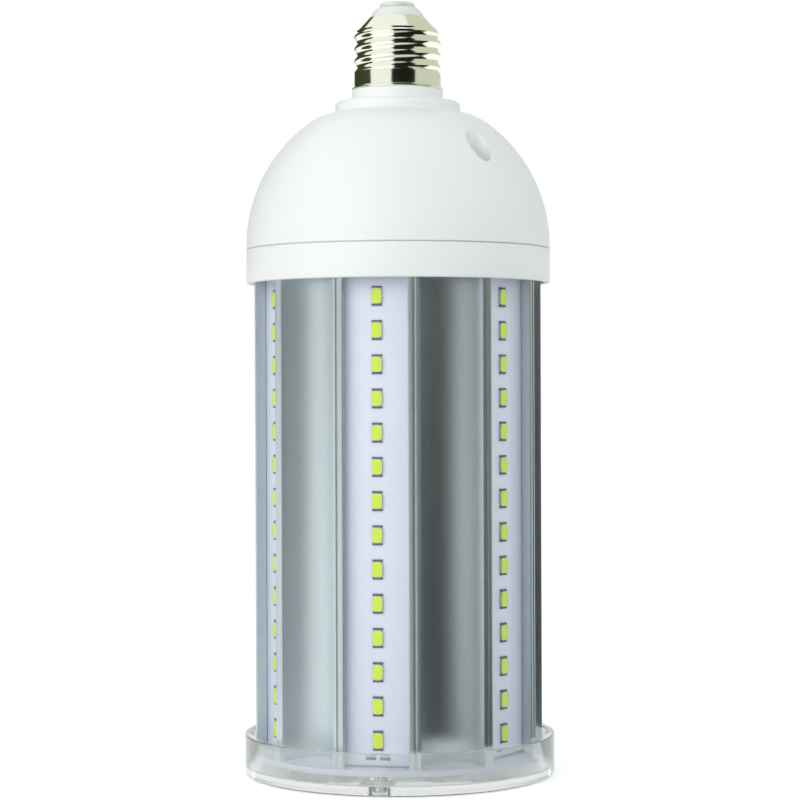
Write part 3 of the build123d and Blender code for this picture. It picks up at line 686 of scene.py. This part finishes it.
def roll_thread(shell):
    """Pushes each barrel point out or in by the helix, and blends into skirt and shoulder."""
    depth = CREST - ROOT
    slope = (CREST - SHELL_MOUTH - 0.5 * MM) / (SHELL_TOP - SHOULDER)
    for point in shell.data.vertices:
        x, y, z = point.co
        out = math.hypot(x, y)
        if out < SHELL_BORE + 0.3 * MM or not SKIRT_TOP - 0.35 * MM < z < SHOULDER + 0.7 * MM:
            continue
        crest_z = SKIRT_TOP + THREAD_PITCH * (math.atan2(y, x) / math.tau + 0.5)
        wave = 0.5 + 0.5 * math.cos(math.tau * (z - crest_z) / THREAD_PITCH)
        fade = smoothstep((SKIRT_TOP + THREAD_RISE + 0.5 * MM - z) / (1.2 * MM))
        skirt = 1 - smoothstep((z - SKIRT_TOP + 0.3 * MM) / (1.3 * MM))
        radius = ROOT + depth * max(wave * fade, skirt)
        radius = min(radius, CREST - max(z - SHOULDER, 0) * slope)
        point.co.x, point.co.y = x * radius / out, y * radius / out


nickel = dressed("bright nickel", (0.87, 0.885, 0.75), 0.13, 1.0, size=180, tone=0.06, gloss=0.05,
                 skin=moulded_grain, fineness=900, depth=0.000004)
shell = turned("screw_shell_rolled", shell_section(), 144)
roll_thread(shell)
give(shade(shell, 40), nickel, "nickel", "screw_shell")

# %% [markdown]
# The end of the base is a pale moulding that closes the shell, with the domed head of the centre
# contact on it. Both are small turned shapes, drawn and spun.

# %% Insulator and centre contact
STEM_RADIUS, STEM_HOLE, STEM_LENGTH = 1.8 * MM, 1.9 * MM, 5.5 * MM
INSULATOR_FOOT, CROWN_CENTRE = 0.2224, (3.2 * MM, 0.2262)


def insulator_section():
    """Half section: the collar inside the shell, the crowned top and the hole for the stem."""
    neck = SHELL_MOUTH - 0.1 * MM
    crown = arc(Vector(CROWN_CENTRE), (neck, SHELL_TOP - 0.1 * MM),
                (CONTACT_RADIUS + 0.6 * MM, CONTACT_SEAT), 8)
    return [
        Vector((STEM_HOLE, CONTACT_SEAT)), Vector((STEM_HOLE, INSULATOR_FOOT)),
        Vector((neck, INSULATOR_FOOT)), Vector((neck, SHELL_TOP - 0.3 * MM)), *crown]


def contact_section():
    """Half section of the rivet: a low crowned head with a rounded rim, and its stem."""
    crown, foot = 0.5 * MM, CONTACT_SEAT - STEM_LENGTH
    head = rounded([
        (CONTACT_RADIUS, CONTACT_SEAT, 0), (CONTACT_RADIUS, CONTACT_TOP - crown, 1.0 * MM),
        (CONTACT_RADIUS / 2, CONTACT_TOP - crown / 4, 5 * MM), (0, CONTACT_TOP, 0)])
    return [
        Vector((0, foot)), Vector((STEM_RADIUS, foot)), Vector((STEM_RADIUS, CONTACT_SEAT)), *head]


pale_insulator = dressed("pale insulator", (0.86, 0.89, 0.85), 0.38, size=120, tone=0.05,
                         skin=moulded_grain, fineness=3500, depth=0.00002)
contact_metal = dressed("contact metal", (0.86, 0.88, 0.85), 0.6, 0.35, size=200, tone=0.05,
                        skin=moulded_grain, fineness=1500, depth=0.000006)
insulator = turned("insulator", insulator_section(), 72)
give(shade(insulator), pale_insulator, "insulator", "base_insulator")
contact = turned("contact", contact_section(), 72)
give(shade(contact), contact_metal, "contact_metal", "center_contact")

# %% [markdown]
# ## The heat sink
#
# The sink is an extrusion: aluminium is pressed through a die and cut to length, so its section
# is the same all the way. The same is done here. One sixth of the outline is drawn: a rail with
# its two lips and the groove in each, the slot for a board, and a deep round channel. Spin with
# duplicates repeats it six times. The section is filled and extruded in one go.

# %% Heat sink
CHANNEL_STEPS, WALL_STEPS, PORT_STEPS, BORE_STEPS = 24, 5, 8, 7


def on_round(along):
    """A point of the sink's outer round, which the lips follow."""
    return (along, math.sqrt(SINK_RADIUS ** 2 - along ** 2))


def rail_corners():
    """One rail's corners as (along, out, radius), from its left side wall to its right one."""
    edge, small = 0.35 * MM, 0.12 * MM
    shoulder = on_round(RAIL_HALF)[1]
    right = [
        (SLOT_HALF, SLOT_FLOOR, 0), (SLOT_HALF, LIP_BACK, small), (LIP_HALF, LIP_BACK, small),
        (*on_round(LIP_HALF), edge), (*on_round(GROOVE_AT - GROOVE_WIDTH / 2), small),
        (GROOVE_AT, on_round(GROOVE_AT)[1] - GROOVE_DEPTH, small),
        (*on_round(GROOVE_AT + GROOVE_WIDTH / 2), small),
        (RAIL_HALF, shoulder, edge), (RAIL_HALF, shoulder - RAIL_SIDE, 0)]
    left = [(-along, out, radius) for along, out, radius in reversed(right)]
    return left + right


def channel_points():
    """The round channel from one rail's side wall to the next rail's, and its lowest distance."""
    foot = on_round(RAIL_HALF)[1] - RAIL_SIDE
    mouth = math.hypot(RAIL_HALF, foot)
    half = math.radians(180 / SIDES) - math.atan2(RAIL_HALF, foot)
    chord, out = mouth * math.sin(half), mouth * math.cos(half)
    radius = (chord ** 2 + CHANNEL_DEPTH ** 2) / (2 * CHANNEL_DEPTH)
    opening = math.asin(chord / radius)
    points = []
    for i in range(CHANNEL_STEPS + 1):
        t = opening * (1 - 2 * i / CHANNEL_STEPS)
        across = radius * math.sin(t)
        deep = out - CHANNEL_DEPTH + radius * (1 - math.cos(t))
        points.append((-across, deep))
    return points, out - CHANNEL_DEPTH


def on_section(points, azimuth=0.0):
    """(along, out) points as 3-D points on the sink's foot, turned to an azimuth."""
    a = math.radians(azimuth)
    across, outward = Vector((math.cos(a), math.sin(a), 0)), Vector((math.sin(a), -math.cos(a), 0))
    foot = Vector((0, 0, SINK_BOTTOM))
    return [across * u + outward * v + foot for u, v in points]


def core_points(bottom):
    """One sixth of the hollow core: round wall, bay behind the board, and the open screw port."""
    core = bottom - SINK_WALL
    bay = RAIL_HALF - SINK_WALL - 0.1 * MM
    start = math.radians(180 / SIDES)
    turn = math.asin(bay / core)
    wall = [start + (turn - start) * i / WALL_STEPS for i in range(WALL_STEPS + 1)]
    left = [(-core * math.sin(t), core * math.cos(t)) for t in wall] + [(-bay, CORE_FLAT)]
    at = Vector((0, PORT_AT))
    flat = math.acos((CORE_FLAT - PORT_AT) / PORT_OUTER)
    low = math.pi - math.asin(PORT_MOUTH / 2 / PORT_OUTER)
    for i in range(PORT_STEPS + 1):
        t = flat + (low - flat) * i / PORT_STEPS
        left.append((-PORT_OUTER * math.sin(t), at.y + PORT_OUTER * math.cos(t)))
    inner = math.pi - math.asin(PORT_MOUTH / 2 / PORT_BORE)
    for i in range(BORE_STEPS):
        t = inner * (1 - i / BORE_STEPS)
        left.append((-PORT_BORE * math.sin(t), at.y + PORT_BORE * math.cos(t)))
    right = [(-u, v) for u, v in reversed(left)]
    return left + [(0, at.y + PORT_BORE)] + right


def sixfold(name, points):
    """A drawn line repeated round the axis and welded into one loop."""
    piece = draw(name, points)
    bpy.ops.mesh.select_all(action="SELECT")
    bpy.ops.mesh.spin(steps=SIDES, angle=math.tau, dupli=True, center=(0, 0, 0), axis=(0, 0, 1))
    bpy.ops.mesh.select_all(action="SELECT")
    bpy.ops.mesh.remove_doubles(threshold=WELD * 5)
    bpy.ops.object.mode_set(mode="OBJECT")
    return piece


def make_sink():
    """Outline and core filled to a section, and the section extruded to the sink's length."""
    channel, bottom = channel_points()
    rail = rounded(rail_corners(), 3)
    outer = on_section(rail) + on_section(channel, 180 / SIDES)[1:]
    loops = [sixfold("outline", outer), sixfold("core", on_section(core_points(bottom)))]
    sink = joined(loops, "heat_sink_extrusion")
    edit(sink, "EDGE")
    bpy.ops.mesh.select_all(action="SELECT")
    bpy.ops.mesh.fill(use_beauty=False)
    bpy.ops.mesh.select_all(action="SELECT")
    bpy.ops.mesh.extrude_region_move(
        TRANSFORM_OT_translate={"value": (0, 0, SINK_TOP - SINK_BOTTOM)})
    weld(sink)
    return sink


def drawn_aluminium():
    """Metal whose gloss is wide across the die lines and narrow along them."""
    material = dressed("satin aluminium", (0.72, 0.79, 0.815), 0.47, 1.0, size=15, tone=0.03,
                       gloss=0.03, skin=drawn_lines, fineness=5000, depth=0.000006,
                       Anisotropic=0.85)
    tree = material.node_tree
    round_axis = tree.nodes.new("ShaderNodeTangent")
    round_axis.direction_type, round_axis.axis = "RADIAL", "Z"
    feed(material, round_axis.outputs[0], tree.nodes["Principled BSDF"].inputs["Tangent"])
    return material


sink = make_sink()
aluminium = drawn_aluminium()
give(shade(sink, 25), aluminium, "anodised_aluminium", "heat_sink")

# %% [markdown]
# ## Boards and LEDs
#
# A board is aluminium or fibreglass with white solder mask on its face. It starts as a cube,
# brought to size, and its edges are broken a little. Each LED is a pale moulded cup with a bath
# of yellow phosphor silicone in it and a tinned foot at each end. One is modelled and copied.
# The cups are coloured mid grey as painted shade, and the feet dark grey as painted reflection.

# %% One LED and one board
LED_WIDTH, LED_LENGTH, LED_HEIGHT = 0.0030, 0.0046, 0.00078
LED_CORNER = 0.0009
WINDOW_WIDTH, WINDOW_LENGTH, WINDOW_DEPTH = 0.00285, 0.0043, 0.00022
FOOT_LENGTH, FOOT_HEIGHT = 0.00055, 0.00045


def brick(name, size, middle):
    """A cube brought to size and place."""
    let_go()
    bpy.ops.mesh.primitive_cube_add(size=1, location=middle)
    piece = bpy.context.object
    piece.scale = size
    return settle(piece, name)


def rounded_brick(name, size, middle, corner):
    """A brick that faces -Y, its four upright corners rounded, left in edit mode by faces."""
    piece = brick(name, size, middle)
    edit(piece, "EDGE")
    select_edges(piece, lambda edge: abs((edge.verts[0].co - edge.verts[1].co).y) > size[1] / 2)
    bpy.ops.mesh.bevel(offset=corner, segments=3, affect="EDGES")
    bpy.ops.mesh.select_all(action="DESELECT")
    bpy.ops.mesh.select_mode(type="FACE")
    select_faces(piece, lambda face: face.normal.y < -FACING)
    return piece


def led_cup():
    """The cup of an LED that faces -Y, its back at the origin. The real cup is pale; its grey
    finish is painted shade.
    """
    cup = rounded_brick("cup", (LED_WIDTH, LED_HEIGHT, LED_LENGTH), (0, -LED_HEIGHT / 2, 0),
                        LED_CORNER)
    bpy.ops.mesh.inset(thickness=(LED_WIDTH - WINDOW_WIDTH) / 2)
    bpy.ops.mesh.inset(thickness=0.06 * MM, depth=-WINDOW_DEPTH)
    bpy.ops.object.mode_set(mode="OBJECT")
    return cup


def led_phosphor():
    """A shallow pillow of phosphor that fills the cup. Its rim is marked, since it is paler."""
    depth = WINDOW_DEPTH * 0.8
    bath = rounded_brick("bath", (WINDOW_WIDTH, depth, WINDOW_LENGTH),
                         (0, -LED_HEIGHT + WINDOW_DEPTH - depth / 2, 0), LED_CORNER - 0.1 * MM)
    for thickness, rise in ((0.2, 0.05), (0.35, 0.02)):
        bpy.ops.mesh.inset(thickness=thickness * MM, depth=rise * MM)
    bpy.ops.object.mode_set(mode="OBJECT")
    rim = bath.data.attributes.new("rim", "FLOAT", "POINT")
    for point in bath.data.vertices:
        across, along = abs(point.co.x) / WINDOW_WIDTH, abs(point.co.z) / WINDOW_LENGTH
        rim.data[point.index].value = max(across, along) * 2
    return bath


def led_feet():
    """The two tinned feet, each with its outer edge rounded by solder."""
    feet = []
    for side in (-1, 1):
        middle = side * (LED_LENGTH + FOOT_LENGTH) / 2
        foot = brick("foot", (LED_WIDTH, FOOT_HEIGHT, FOOT_LENGTH),
                     (0, -FOOT_HEIGHT / 2, middle))
        edit(foot, "EDGE")
        outer = side * (LED_LENGTH / 2 + FOOT_LENGTH)
        select_edges(foot, lambda edge: all(
            abs(v.co.z - outer) < WELD and v.co.y < -FOOT_HEIGHT / 2 for v in edge.verts))
        bpy.ops.mesh.bevel(offset=FOOT_HEIGHT * 0.35, segments=3, affect="EDGES")
        bpy.ops.object.mode_set(mode="OBJECT")
        feet.append(foot)
    return joined(feet, "feet")


def board_blank():
    """Board 1, facing -Y, with its edges broken."""
    board = brick("board", (2 * BOARD_HALF, BOARD_FACE - BOARD_BACK, BOARD_TOP - BOARD_BOTTOM),
                  (0, -(BOARD_FACE + BOARD_BACK) / 2, (BOARD_TOP + BOARD_BOTTOM) / 2))
    soften(board, 0.12 * MM, 2)
    return board


cup, bath, feet = led_cup(), led_phosphor(), led_feet()
board = board_blank()
print("LED faces:", [len(p.data.polygons) for p in (cup, bath, feet)])

# %% [markdown]
# The pads at a board's ends are where its leads or a tester touch it: two flat tinned islands.
# Solder stands on each in a low hump.

# %% Rows of LEDs, pads, and six boards
PAD_SIZE, PAD_OUT, PAD_HEIGHTS = (0.0030, 0.0009), 0.0020, (0.0092, 0.1485)


def pad(x, z):
    """A hump of solder on a pad of board 1."""
    hump = brick("pad", (PAD_SIZE[0], 0.24 * MM, PAD_SIZE[1]), (x, -BOARD_FACE - 0.12 * MM, z))
    edit(hump, "FACE")
    select_faces(hump, lambda face: face.normal.y < -FACING)
    bpy.ops.mesh.bevel(offset=0.2 * MM, segments=2, affect="EDGES")
    bpy.ops.object.mode_set(mode="OBJECT")
    return hump


def row_of(part, name):
    """Board 1's column of one part."""
    places = [(0, -BOARD_FACE, LED_FIRST + LED_PITCH * i) for i in range(LED_COUNT)]
    return joined([copy_of(part, "one", place) for place in places], name)


def make_boards():
    """The parts of board 1, and a turned copy of each for the other five."""
    pads = [pad(x, z) for z in PAD_HEIGHTS for x in (-PAD_OUT, PAD_OUT)]
    solder = joined([row_of(feet, "feet row"), *pads], "solder")
    first = [board, row_of(cup, "cups"), row_of(bath, "baths"), solder]
    kinds = [
        ("board_{}", white_mask, "white_board", ["led_board_{}"]),
        ("led_cups_{}", led_cup_painted_shade, "led_body", ["led_packages_{}"]),
        ("led_baths_{}", phosphor, "phosphor", ["led_phosphor_{}"]),
        ("led_solder_{}", solder_painted_dark, "contact_metal", [])]
    for part, (name, material, slot_name, replaced) in zip(first, kinds):
        for number in range(1, SIDES + 1):
            turn = (0, 0, (number - 1) * 360 / SIDES)
            piece = copy_of(part, name.format(number), (0, 0, 0), turn)
            give(shade(piece), material, slot_name, *[n.format(number) for n in replaced])
        bpy.data.objects.remove(part)


white_mask = dressed("white solder mask", (0.81, 0.85, 0.97), 0.33, size=60, tone=0.03,
                     skin=moulded_grain, fineness=900, depth=0.00001)
# The real LED cup is pale; this mid grey is painted shade, for the dark outline and side shadow
# round the phosphor.
led_cup_painted_shade = dressed("led moulding, grey as painted shade", (0.52, 0.53, 0.52), 0.4, size=300, tone=0.05,
                      skin=moulded_grain, fineness=4000, depth=0.00001)
# Tinned solder is bright metal; this flat dark grey on the feet and pads is a painted dark
# reflection and painted shade.
solder_painted_dark = dressed("solder, dark as painted reflection", (0.16, 0.16, 0.175), 0.5, 0.0, size=400, tone=0.15,
                      gloss=0.1, skin=moulded_grain, fineness=3000, depth=0.00003)
PHOSPHOR_CORE, PHOSPHOR_RIM = (0.72, 0.92, 0.03), (0.78, 0.90, 0.26)


def phosphor_silicone():
    """Deep yellow-green in the middle and paler at the rim, where the silicone is thin."""
    material = dressed("phosphor silicone", PHOSPHOR_CORE, 0.35, size=500, tone=0.06,
                       skin=moulded_grain, fineness=3000, depth=0.00001, Specular_IOR_Level=0.3)
    tree = material.node_tree
    marked = tree.nodes.new("ShaderNodeAttribute")
    marked.attribute_name = "rim"
    ramp = tree.nodes.new("ShaderNodeValToRGB")
    ramp.color_ramp.elements[0].position = 0.6
    ramp.color_ramp.elements[0].color = (*PHOSPHOR_CORE, 1)
    ramp.color_ramp.elements[1].color = (*PHOSPHOR_RIM, 1)
    feed(material, marked.outputs["Fac"], ramp.inputs["Fac"])
    for group in [n for n in tree.nodes if n.type == "GROUP" and n.node_tree == tone_drift]:
        feed(material, ramp.outputs["Color"], group.inputs["Colour"])
    return material


phosphor = phosphor_silicone()
make_boards()

# %% [markdown]
# ## The foot of the lamp
#
# A round board closes the sink's foot and carries the downward LEDs. Its disc is a cylinder with
# its rim broken and three screw holes bored.

# %% End board
END_RINGS = ((12, 0.030), (6, 0.016))
END_RADIUS = 0.04342


def end_places():
    """Place and turn of each LED of the end board: face down, its length along the radius."""
    places = []
    for count, out in END_RINGS:
        for i in range(count):
            azimuth = (i + 0.5) * 360 / count
            places.append((around(azimuth, out, BOSS_TOP), (90, 0, azimuth)))
    return places


def make_end_board():
    """The round board and its LEDs."""
    disc = upright(END_RADIUS, BOSS_TOP, SINK_BOTTOM, 0, 0, 96)
    soften(disc, 0.12 * MM, 2)
    for azimuth in SCREW_AZIMUTHS:
        combine(disc, upright(SCREW_HOLE, 0, SINK_TOP, azimuth, PORT_AT))
    disc = settle(disc, "end_board_disc")
    give(shade(disc), white_mask, "white_board", "end_board")
    kinds = [
        (cup, "end_led_cups", led_cup_painted_shade, "led_body", ["end_led_packages"]),
        (bath, "end_led_baths", phosphor, "phosphor", ["end_led_phosphor"]),
        (feet, "end_led_solder", solder_painted_dark, "contact_metal", [])]
    for part, name, material, slot_name, replaced in kinds:
        row = joined([copy_of(part, "one", *place) for place in end_places()], name)
        give(shade(row), material, slot_name, *replaced)
        bpy.data.objects.remove(part)


make_end_board()

# %% [markdown]
# The clear cap is a shallow cup of acrylic or polycarbonate. Clear plastic shows its inside too,
# so the cup has a real wall and floor, bosses that reach up to the end board, and countersunk
# holes. Its section is drawn with rounded edges, because the bright lines in such a cap are its
# roundings. Moulded plastic is never quite clear, so about a tenth of the light is left diffuse.

# %% Clear end cap
HEAD_SINK, HEAD_ROOM, BOSS_WALL = 0.0017, 0.0032, 0.0017


def cap_section():
    """Half section of the cup."""
    inner = CAP_RADIUS - CAP_WALL
    return [Vector((0, 0))] + rounded([
        (CAP_RADIUS, 0, 0.8 * MM), (CAP_RADIUS, CAP_RIM, 0.4 * MM),
        (inner, CAP_RIM, 0.4 * MM), (inner, CAP_FLOOR, 0.4 * MM), (0, CAP_FLOOR, 0)])


def make_cap():
    """Cup, bosses and holes, in one closed skin."""
    cap = turned("clear_cap", cap_section(), 144)
    for azimuth in SCREW_AZIMUTHS:
        boss = upright(SCREW_HOLE + BOSS_WALL, CAP_FLOOR - MM, BOSS_TOP, azimuth, PORT_AT, 48)
        combine(cap, boss, "UNION")
        combine(cap, upright(SCREW_HOLE, -MM, BOSS_TOP + MM, azimuth, PORT_AT, 48))
        combine(cap, upright(HEAD_ROOM, -MM, HEAD_SINK, azimuth, PORT_AT, 48))
    return cap


clear_plastic = new_finish(
    "clear plastic", (0.95, 0.965, 0.955), 0.05, Transmission_Weight=0.88, IOR=1.49)[0]
cap = make_cap()
give(shade(cap), clear_plastic, "clear_plastic", "end_cap")

# %% [markdown]
# ## Screws
#
# Slotted pan-head screws. The head and shank are spun from one half section, and the slot is cut
# with a thin block.

# %% Screws
CAP_SCREW, WEB_SCREW, POCKET_SCREW, POCKET_SCREW_TURN = 0.0151, 0.0125, 0.0120, 25


def make_screw(length, radius=0.0014, head=0.0028, tall=0.0016):
    """A screw that points down, with its head's underside at the origin."""
    section = [Vector((0, -length))] + rounded([
        (radius * 0.55, -length, 0), (radius, -length + 1.5 * MM, 0.2 * MM), (radius, 0, 0),
        (head, 0, 0.15 * MM), (head, tall, tall * 0.55), (0, tall, 0)])
    made = turned("screw", section, 40)
    combine(made, brick("slot", (3 * head, 0.8 * MM, 1.4 * MM), (0, 0, tall)))
    return made


def set_screws(name, one, places, *replaced):
    """Copies of a screw at their places, as one piece."""
    group = joined([copy_of(one, "one", *place) for place in places], name)
    give(shade(group), screw_steel, "screw_steel", *replaced)
    bpy.data.objects.remove(one)


screw_steel = dressed("zinc-plated steel", (0.60, 0.60, 0.61), 0.3, 1.0, size=400, tone=0.1,
                      gloss=0.15, skin=moulded_grain, fineness=2500, depth=0.00001)
set_screws("cap_screws", make_screw(CAP_SCREW),
           [(around(a, PORT_AT, HEAD_SINK), (180, 0, a)) for a in SCREW_AZIMUTHS],
           "end_cap_screws")
set_screws("ring_web_screws", make_screw(WEB_SCREW),
           [(around(a, PORT_AT, WEB_TOP), (0, 0, a)) for a in SCREW_AZIMUTHS], "ring_screws")
set_screws("pocket_screws", make_screw(POCKET_SCREW),
           [(around(a, POCKET_OUT, POCKET_FLOOR), (0, 0, a + POCKET_SCREW_TURN))
            for a in (POCKET_AZIMUTH, POCKET_AZIMUTH + 180)], "dome_screws")

# %% [markdown]
# ## What the housing hides
#
# The driver and its leads keep their CAD meshes. Each still gets a finish of its own, with the
# drift and skin of the real material, because someone may take the dome off.

# %% Finishes for the driver
METALLIC, SKINS = {"enamelled winding": 0.7}, {"yellow tape": drawn_lines}


def paint(material, *names):
    """Gives CAD nodes a material."""
    for name in names:
        piece = nodes[name]
        piece.data.materials.clear()
        piece.data.materials.append(material)
    print(material.name, "on", len(names), "nodes")


def paint_driver():
    """One finish for each kind of part on the driver board, and for the leads."""
    paint(screw_steel, "driver_screws")
    table = [
        ("green solder mask", (0.02, 0.13, 0.05), 0.3, 90, 0.1, 700, 20, ["driver_board"]),
        ("ferrite", (0.025, 0.025, 0.03), 0.55, 300, 0.2, 2500, 50, ["transformer_core"]),
        ("yellow tape", (0.72, 0.45, 0.02), 0.35, 80, 0.1, 900, 30, ["transformer_coil"]),
        ("capacitor sleeve", (0.012, 0.018, 0.055), 0.22, 120, 0.15, 600, 20,
         ["input_capacitor", "output_capacitors"]),
        ("enamelled winding", (0.42, 0.14, 0.05), 0.28, 200, 0.2, 1500, 60, ["filter_choke"]),
        ("yellow film case", (0.70, 0.52, 0.04), 0.3, 150, 0.06, 1500, 20, ["film_capacitor"]),
        ("black moulding", (0.016, 0.016, 0.017), 0.5, 250, 0.2, 2800, 40,
         ["bridge_rectifier", "switching_transistor"]),
        ("dipped blue coating", (0.02, 0.07, 0.28), 0.25, 150, 0.1, 900, 40, ["surge_absorber"]),
        ("brown lacquer", (0.20, 0.09, 0.04), 0.25, 200, 0.1, 1200, 20, ["fuse"]),
        ("red insulation", (0.42, 0.012, 0.01), 0.4, 150, 0.08, 1800, 10,
         ["strip_leads_positive"]),
        ("black insulation", (0.015, 0.015, 0.015), 0.4, 150, 0.08, 1800, 10,
         ["strip_leads_negative", "live_lead"]),
        ("white insulation", (0.75, 0.75, 0.72), 0.4, 150, 0.08, 1800, 10,
         ["end_leads", "neutral_lead"])]
    for name, colour, roughness, size, tone, fineness, microns, parts in table:
        paint(dressed(name, colour, roughness, METALLIC.get(name, 0.0), size=size, tone=tone,
                      skin=SKINS.get(name, moulded_grain), fineness=fineness,
                      depth=microns * MM / 1000), *parts)


paint_driver()

# %% [markdown]
# ## The floor and the cards
#
# The floor is a plain pale plane. Light makes it nearly white, and what is missing to white is
# added for the rays that see it, so that the lamp's own shadow stays.
# Bright metal has no look of its own: it shows the room. A photographer hangs cards round it, and
# the same is done here, with cards that only glossy rays meet. The screw base sees the high ones:
# black in front, pale on the right, olive behind on the left. Upwards the black one widens and
# the pale one moves round with it, because the thread's slopes mirror the room askew. The heat
# sink sees the low ones: black in front and on the right, bright on the left, grey behind, and a
# black and an olive one flat on the floor.

# %% Floor
FLOOR_TOP_UP, FLOOR_SIZE, FLOOR_DROP = 0.50, 12, 0.0002


def make_floor():
    """A wide pale floor that the camera, gloss and glass see as white."""
    let_go()
    bpy.ops.mesh.primitive_plane_add(size=FLOOR_SIZE, location=(0, 0, -FLOOR_DROP))
    floor = settle(bpy.context.object, "floor")
    material, shader = new_finish("pale floor", (0.80, 0.80, 0.80), 0.9)
    shader.inputs["Emission Color"].default_value = (1, 1, 1, 1)
    tree = material.node_tree
    feed(material, maths(tree, "MULTIPLY", seen_directly(tree), FLOOR_TOP_UP),
         shader.inputs["Emission Strength"])
    floor.data.materials.append(material)
    return floor


floor = make_floor()
print("floor at", floor.location.z)

# %% Cards that only gloss sees
CARD_DISTANCE, CARD_SPLIT, CARD_TOP = 1.15, 0.28, 4.2
REAR_SPLIT, REAR_TOP = 0.17, 1.1
CARD_LIFT, FRONT_GAP, REAR_GAP, REAR_REACH = 0.0001, 0.075, 0.20, 0.45
CARD_STEPS = 8


def only_gloss(card, name, colour):
    """Hides a card from every ray but the glossy ones, and gives it a flat tone."""
    material, shader = new_finish(name, (0, 0, 0), 1.0)
    shader.inputs["Specular IOR Level"].default_value = 0
    shader.inputs["Emission Color"].default_value = (*colour, 1)
    shader.inputs["Emission Strength"].default_value = 1
    card.data.materials.append(material)
    card.visible_camera = card.visible_diffuse = False
    card.visible_transmission = card.visible_shadow = False
    return card


def card_line(span, height, out=CARD_DISTANCE):
    """A bent line at one height between two azimuths, counted from the camera's own."""
    start, end = span
    return [around(PHOTO_AZIMUTH + start + (end - start) * i / CARD_STEPS, out, height)
            for i in range(CARD_STEPS + 1)]


def standing_card(name, span, bottom, top, colour, top_span=None):
    """A curved card between two azimuths, which may span others at its top."""
    lines = [draw("low edge", card_line(span, bottom)),
             draw("high edge", card_line(top_span or span, top))]
    card = joined(lines, name)
    edit(card, "EDGE")
    bpy.ops.mesh.select_all(action="SELECT")
    bpy.ops.mesh.bridge_edge_loops()
    bpy.ops.object.mode_set(mode="OBJECT")
    return only_gloss(card, name, colour)


def lying_card(name, span, inner, outer, colour):
    """A flat card on the floor between two azimuths and two distances."""
    line = card_line(span, CARD_LIFT, inner)
    back = card_line(span[::-1], CARD_LIFT, outer)
    card = draw(name, [*line, *back, line[0]])
    bpy.ops.mesh.select_all(action="SELECT")
    bpy.ops.mesh.remove_doubles(threshold=WELD)
    bpy.ops.mesh.edge_face_add()
    bpy.ops.object.mode_set(mode="OBJECT")
    return only_gloss(card, name, colour)


BLACK, OLIVE, GREY = (0.013, 0.013, 0.010), (0.045, 0.055, 0.025), (0.75, 0.78, 0.77)
PALE, BRIGHT = (0.65, 0.68, 0.59), (1.22, 1.26, 1.27)
cards = [
    standing_card("front card", (-9, 46), 0.0, CARD_SPLIT, BLACK),
    standing_card("high front card", (-16, 46), CARD_SPLIT, CARD_TOP, BLACK, (-23, 82)),
    standing_card("low right card", (46, 92), 0.0, CARD_SPLIT, BLACK),
    standing_card("right card", (46, 162), CARD_SPLIT, CARD_TOP, PALE, (82, 178)),
    standing_card("low left card", (-69, -25), 0.0, CARD_SPLIT, BRIGHT),
    standing_card("rear card", (-160, -70), REAR_SPLIT, REAR_TOP, OLIVE, (-168, -86)),
    standing_card("low rear card", (-160, -70), 0.0, REAR_SPLIT, GREY),
    lying_card("floor card", (-9, 92), FRONT_GAP, CARD_DISTANCE, BLACK),
    lying_card("rear floor card", (-160, -85), REAR_GAP, REAR_REACH, OLIVE)]
print("cards:", [card.name for card in cards])
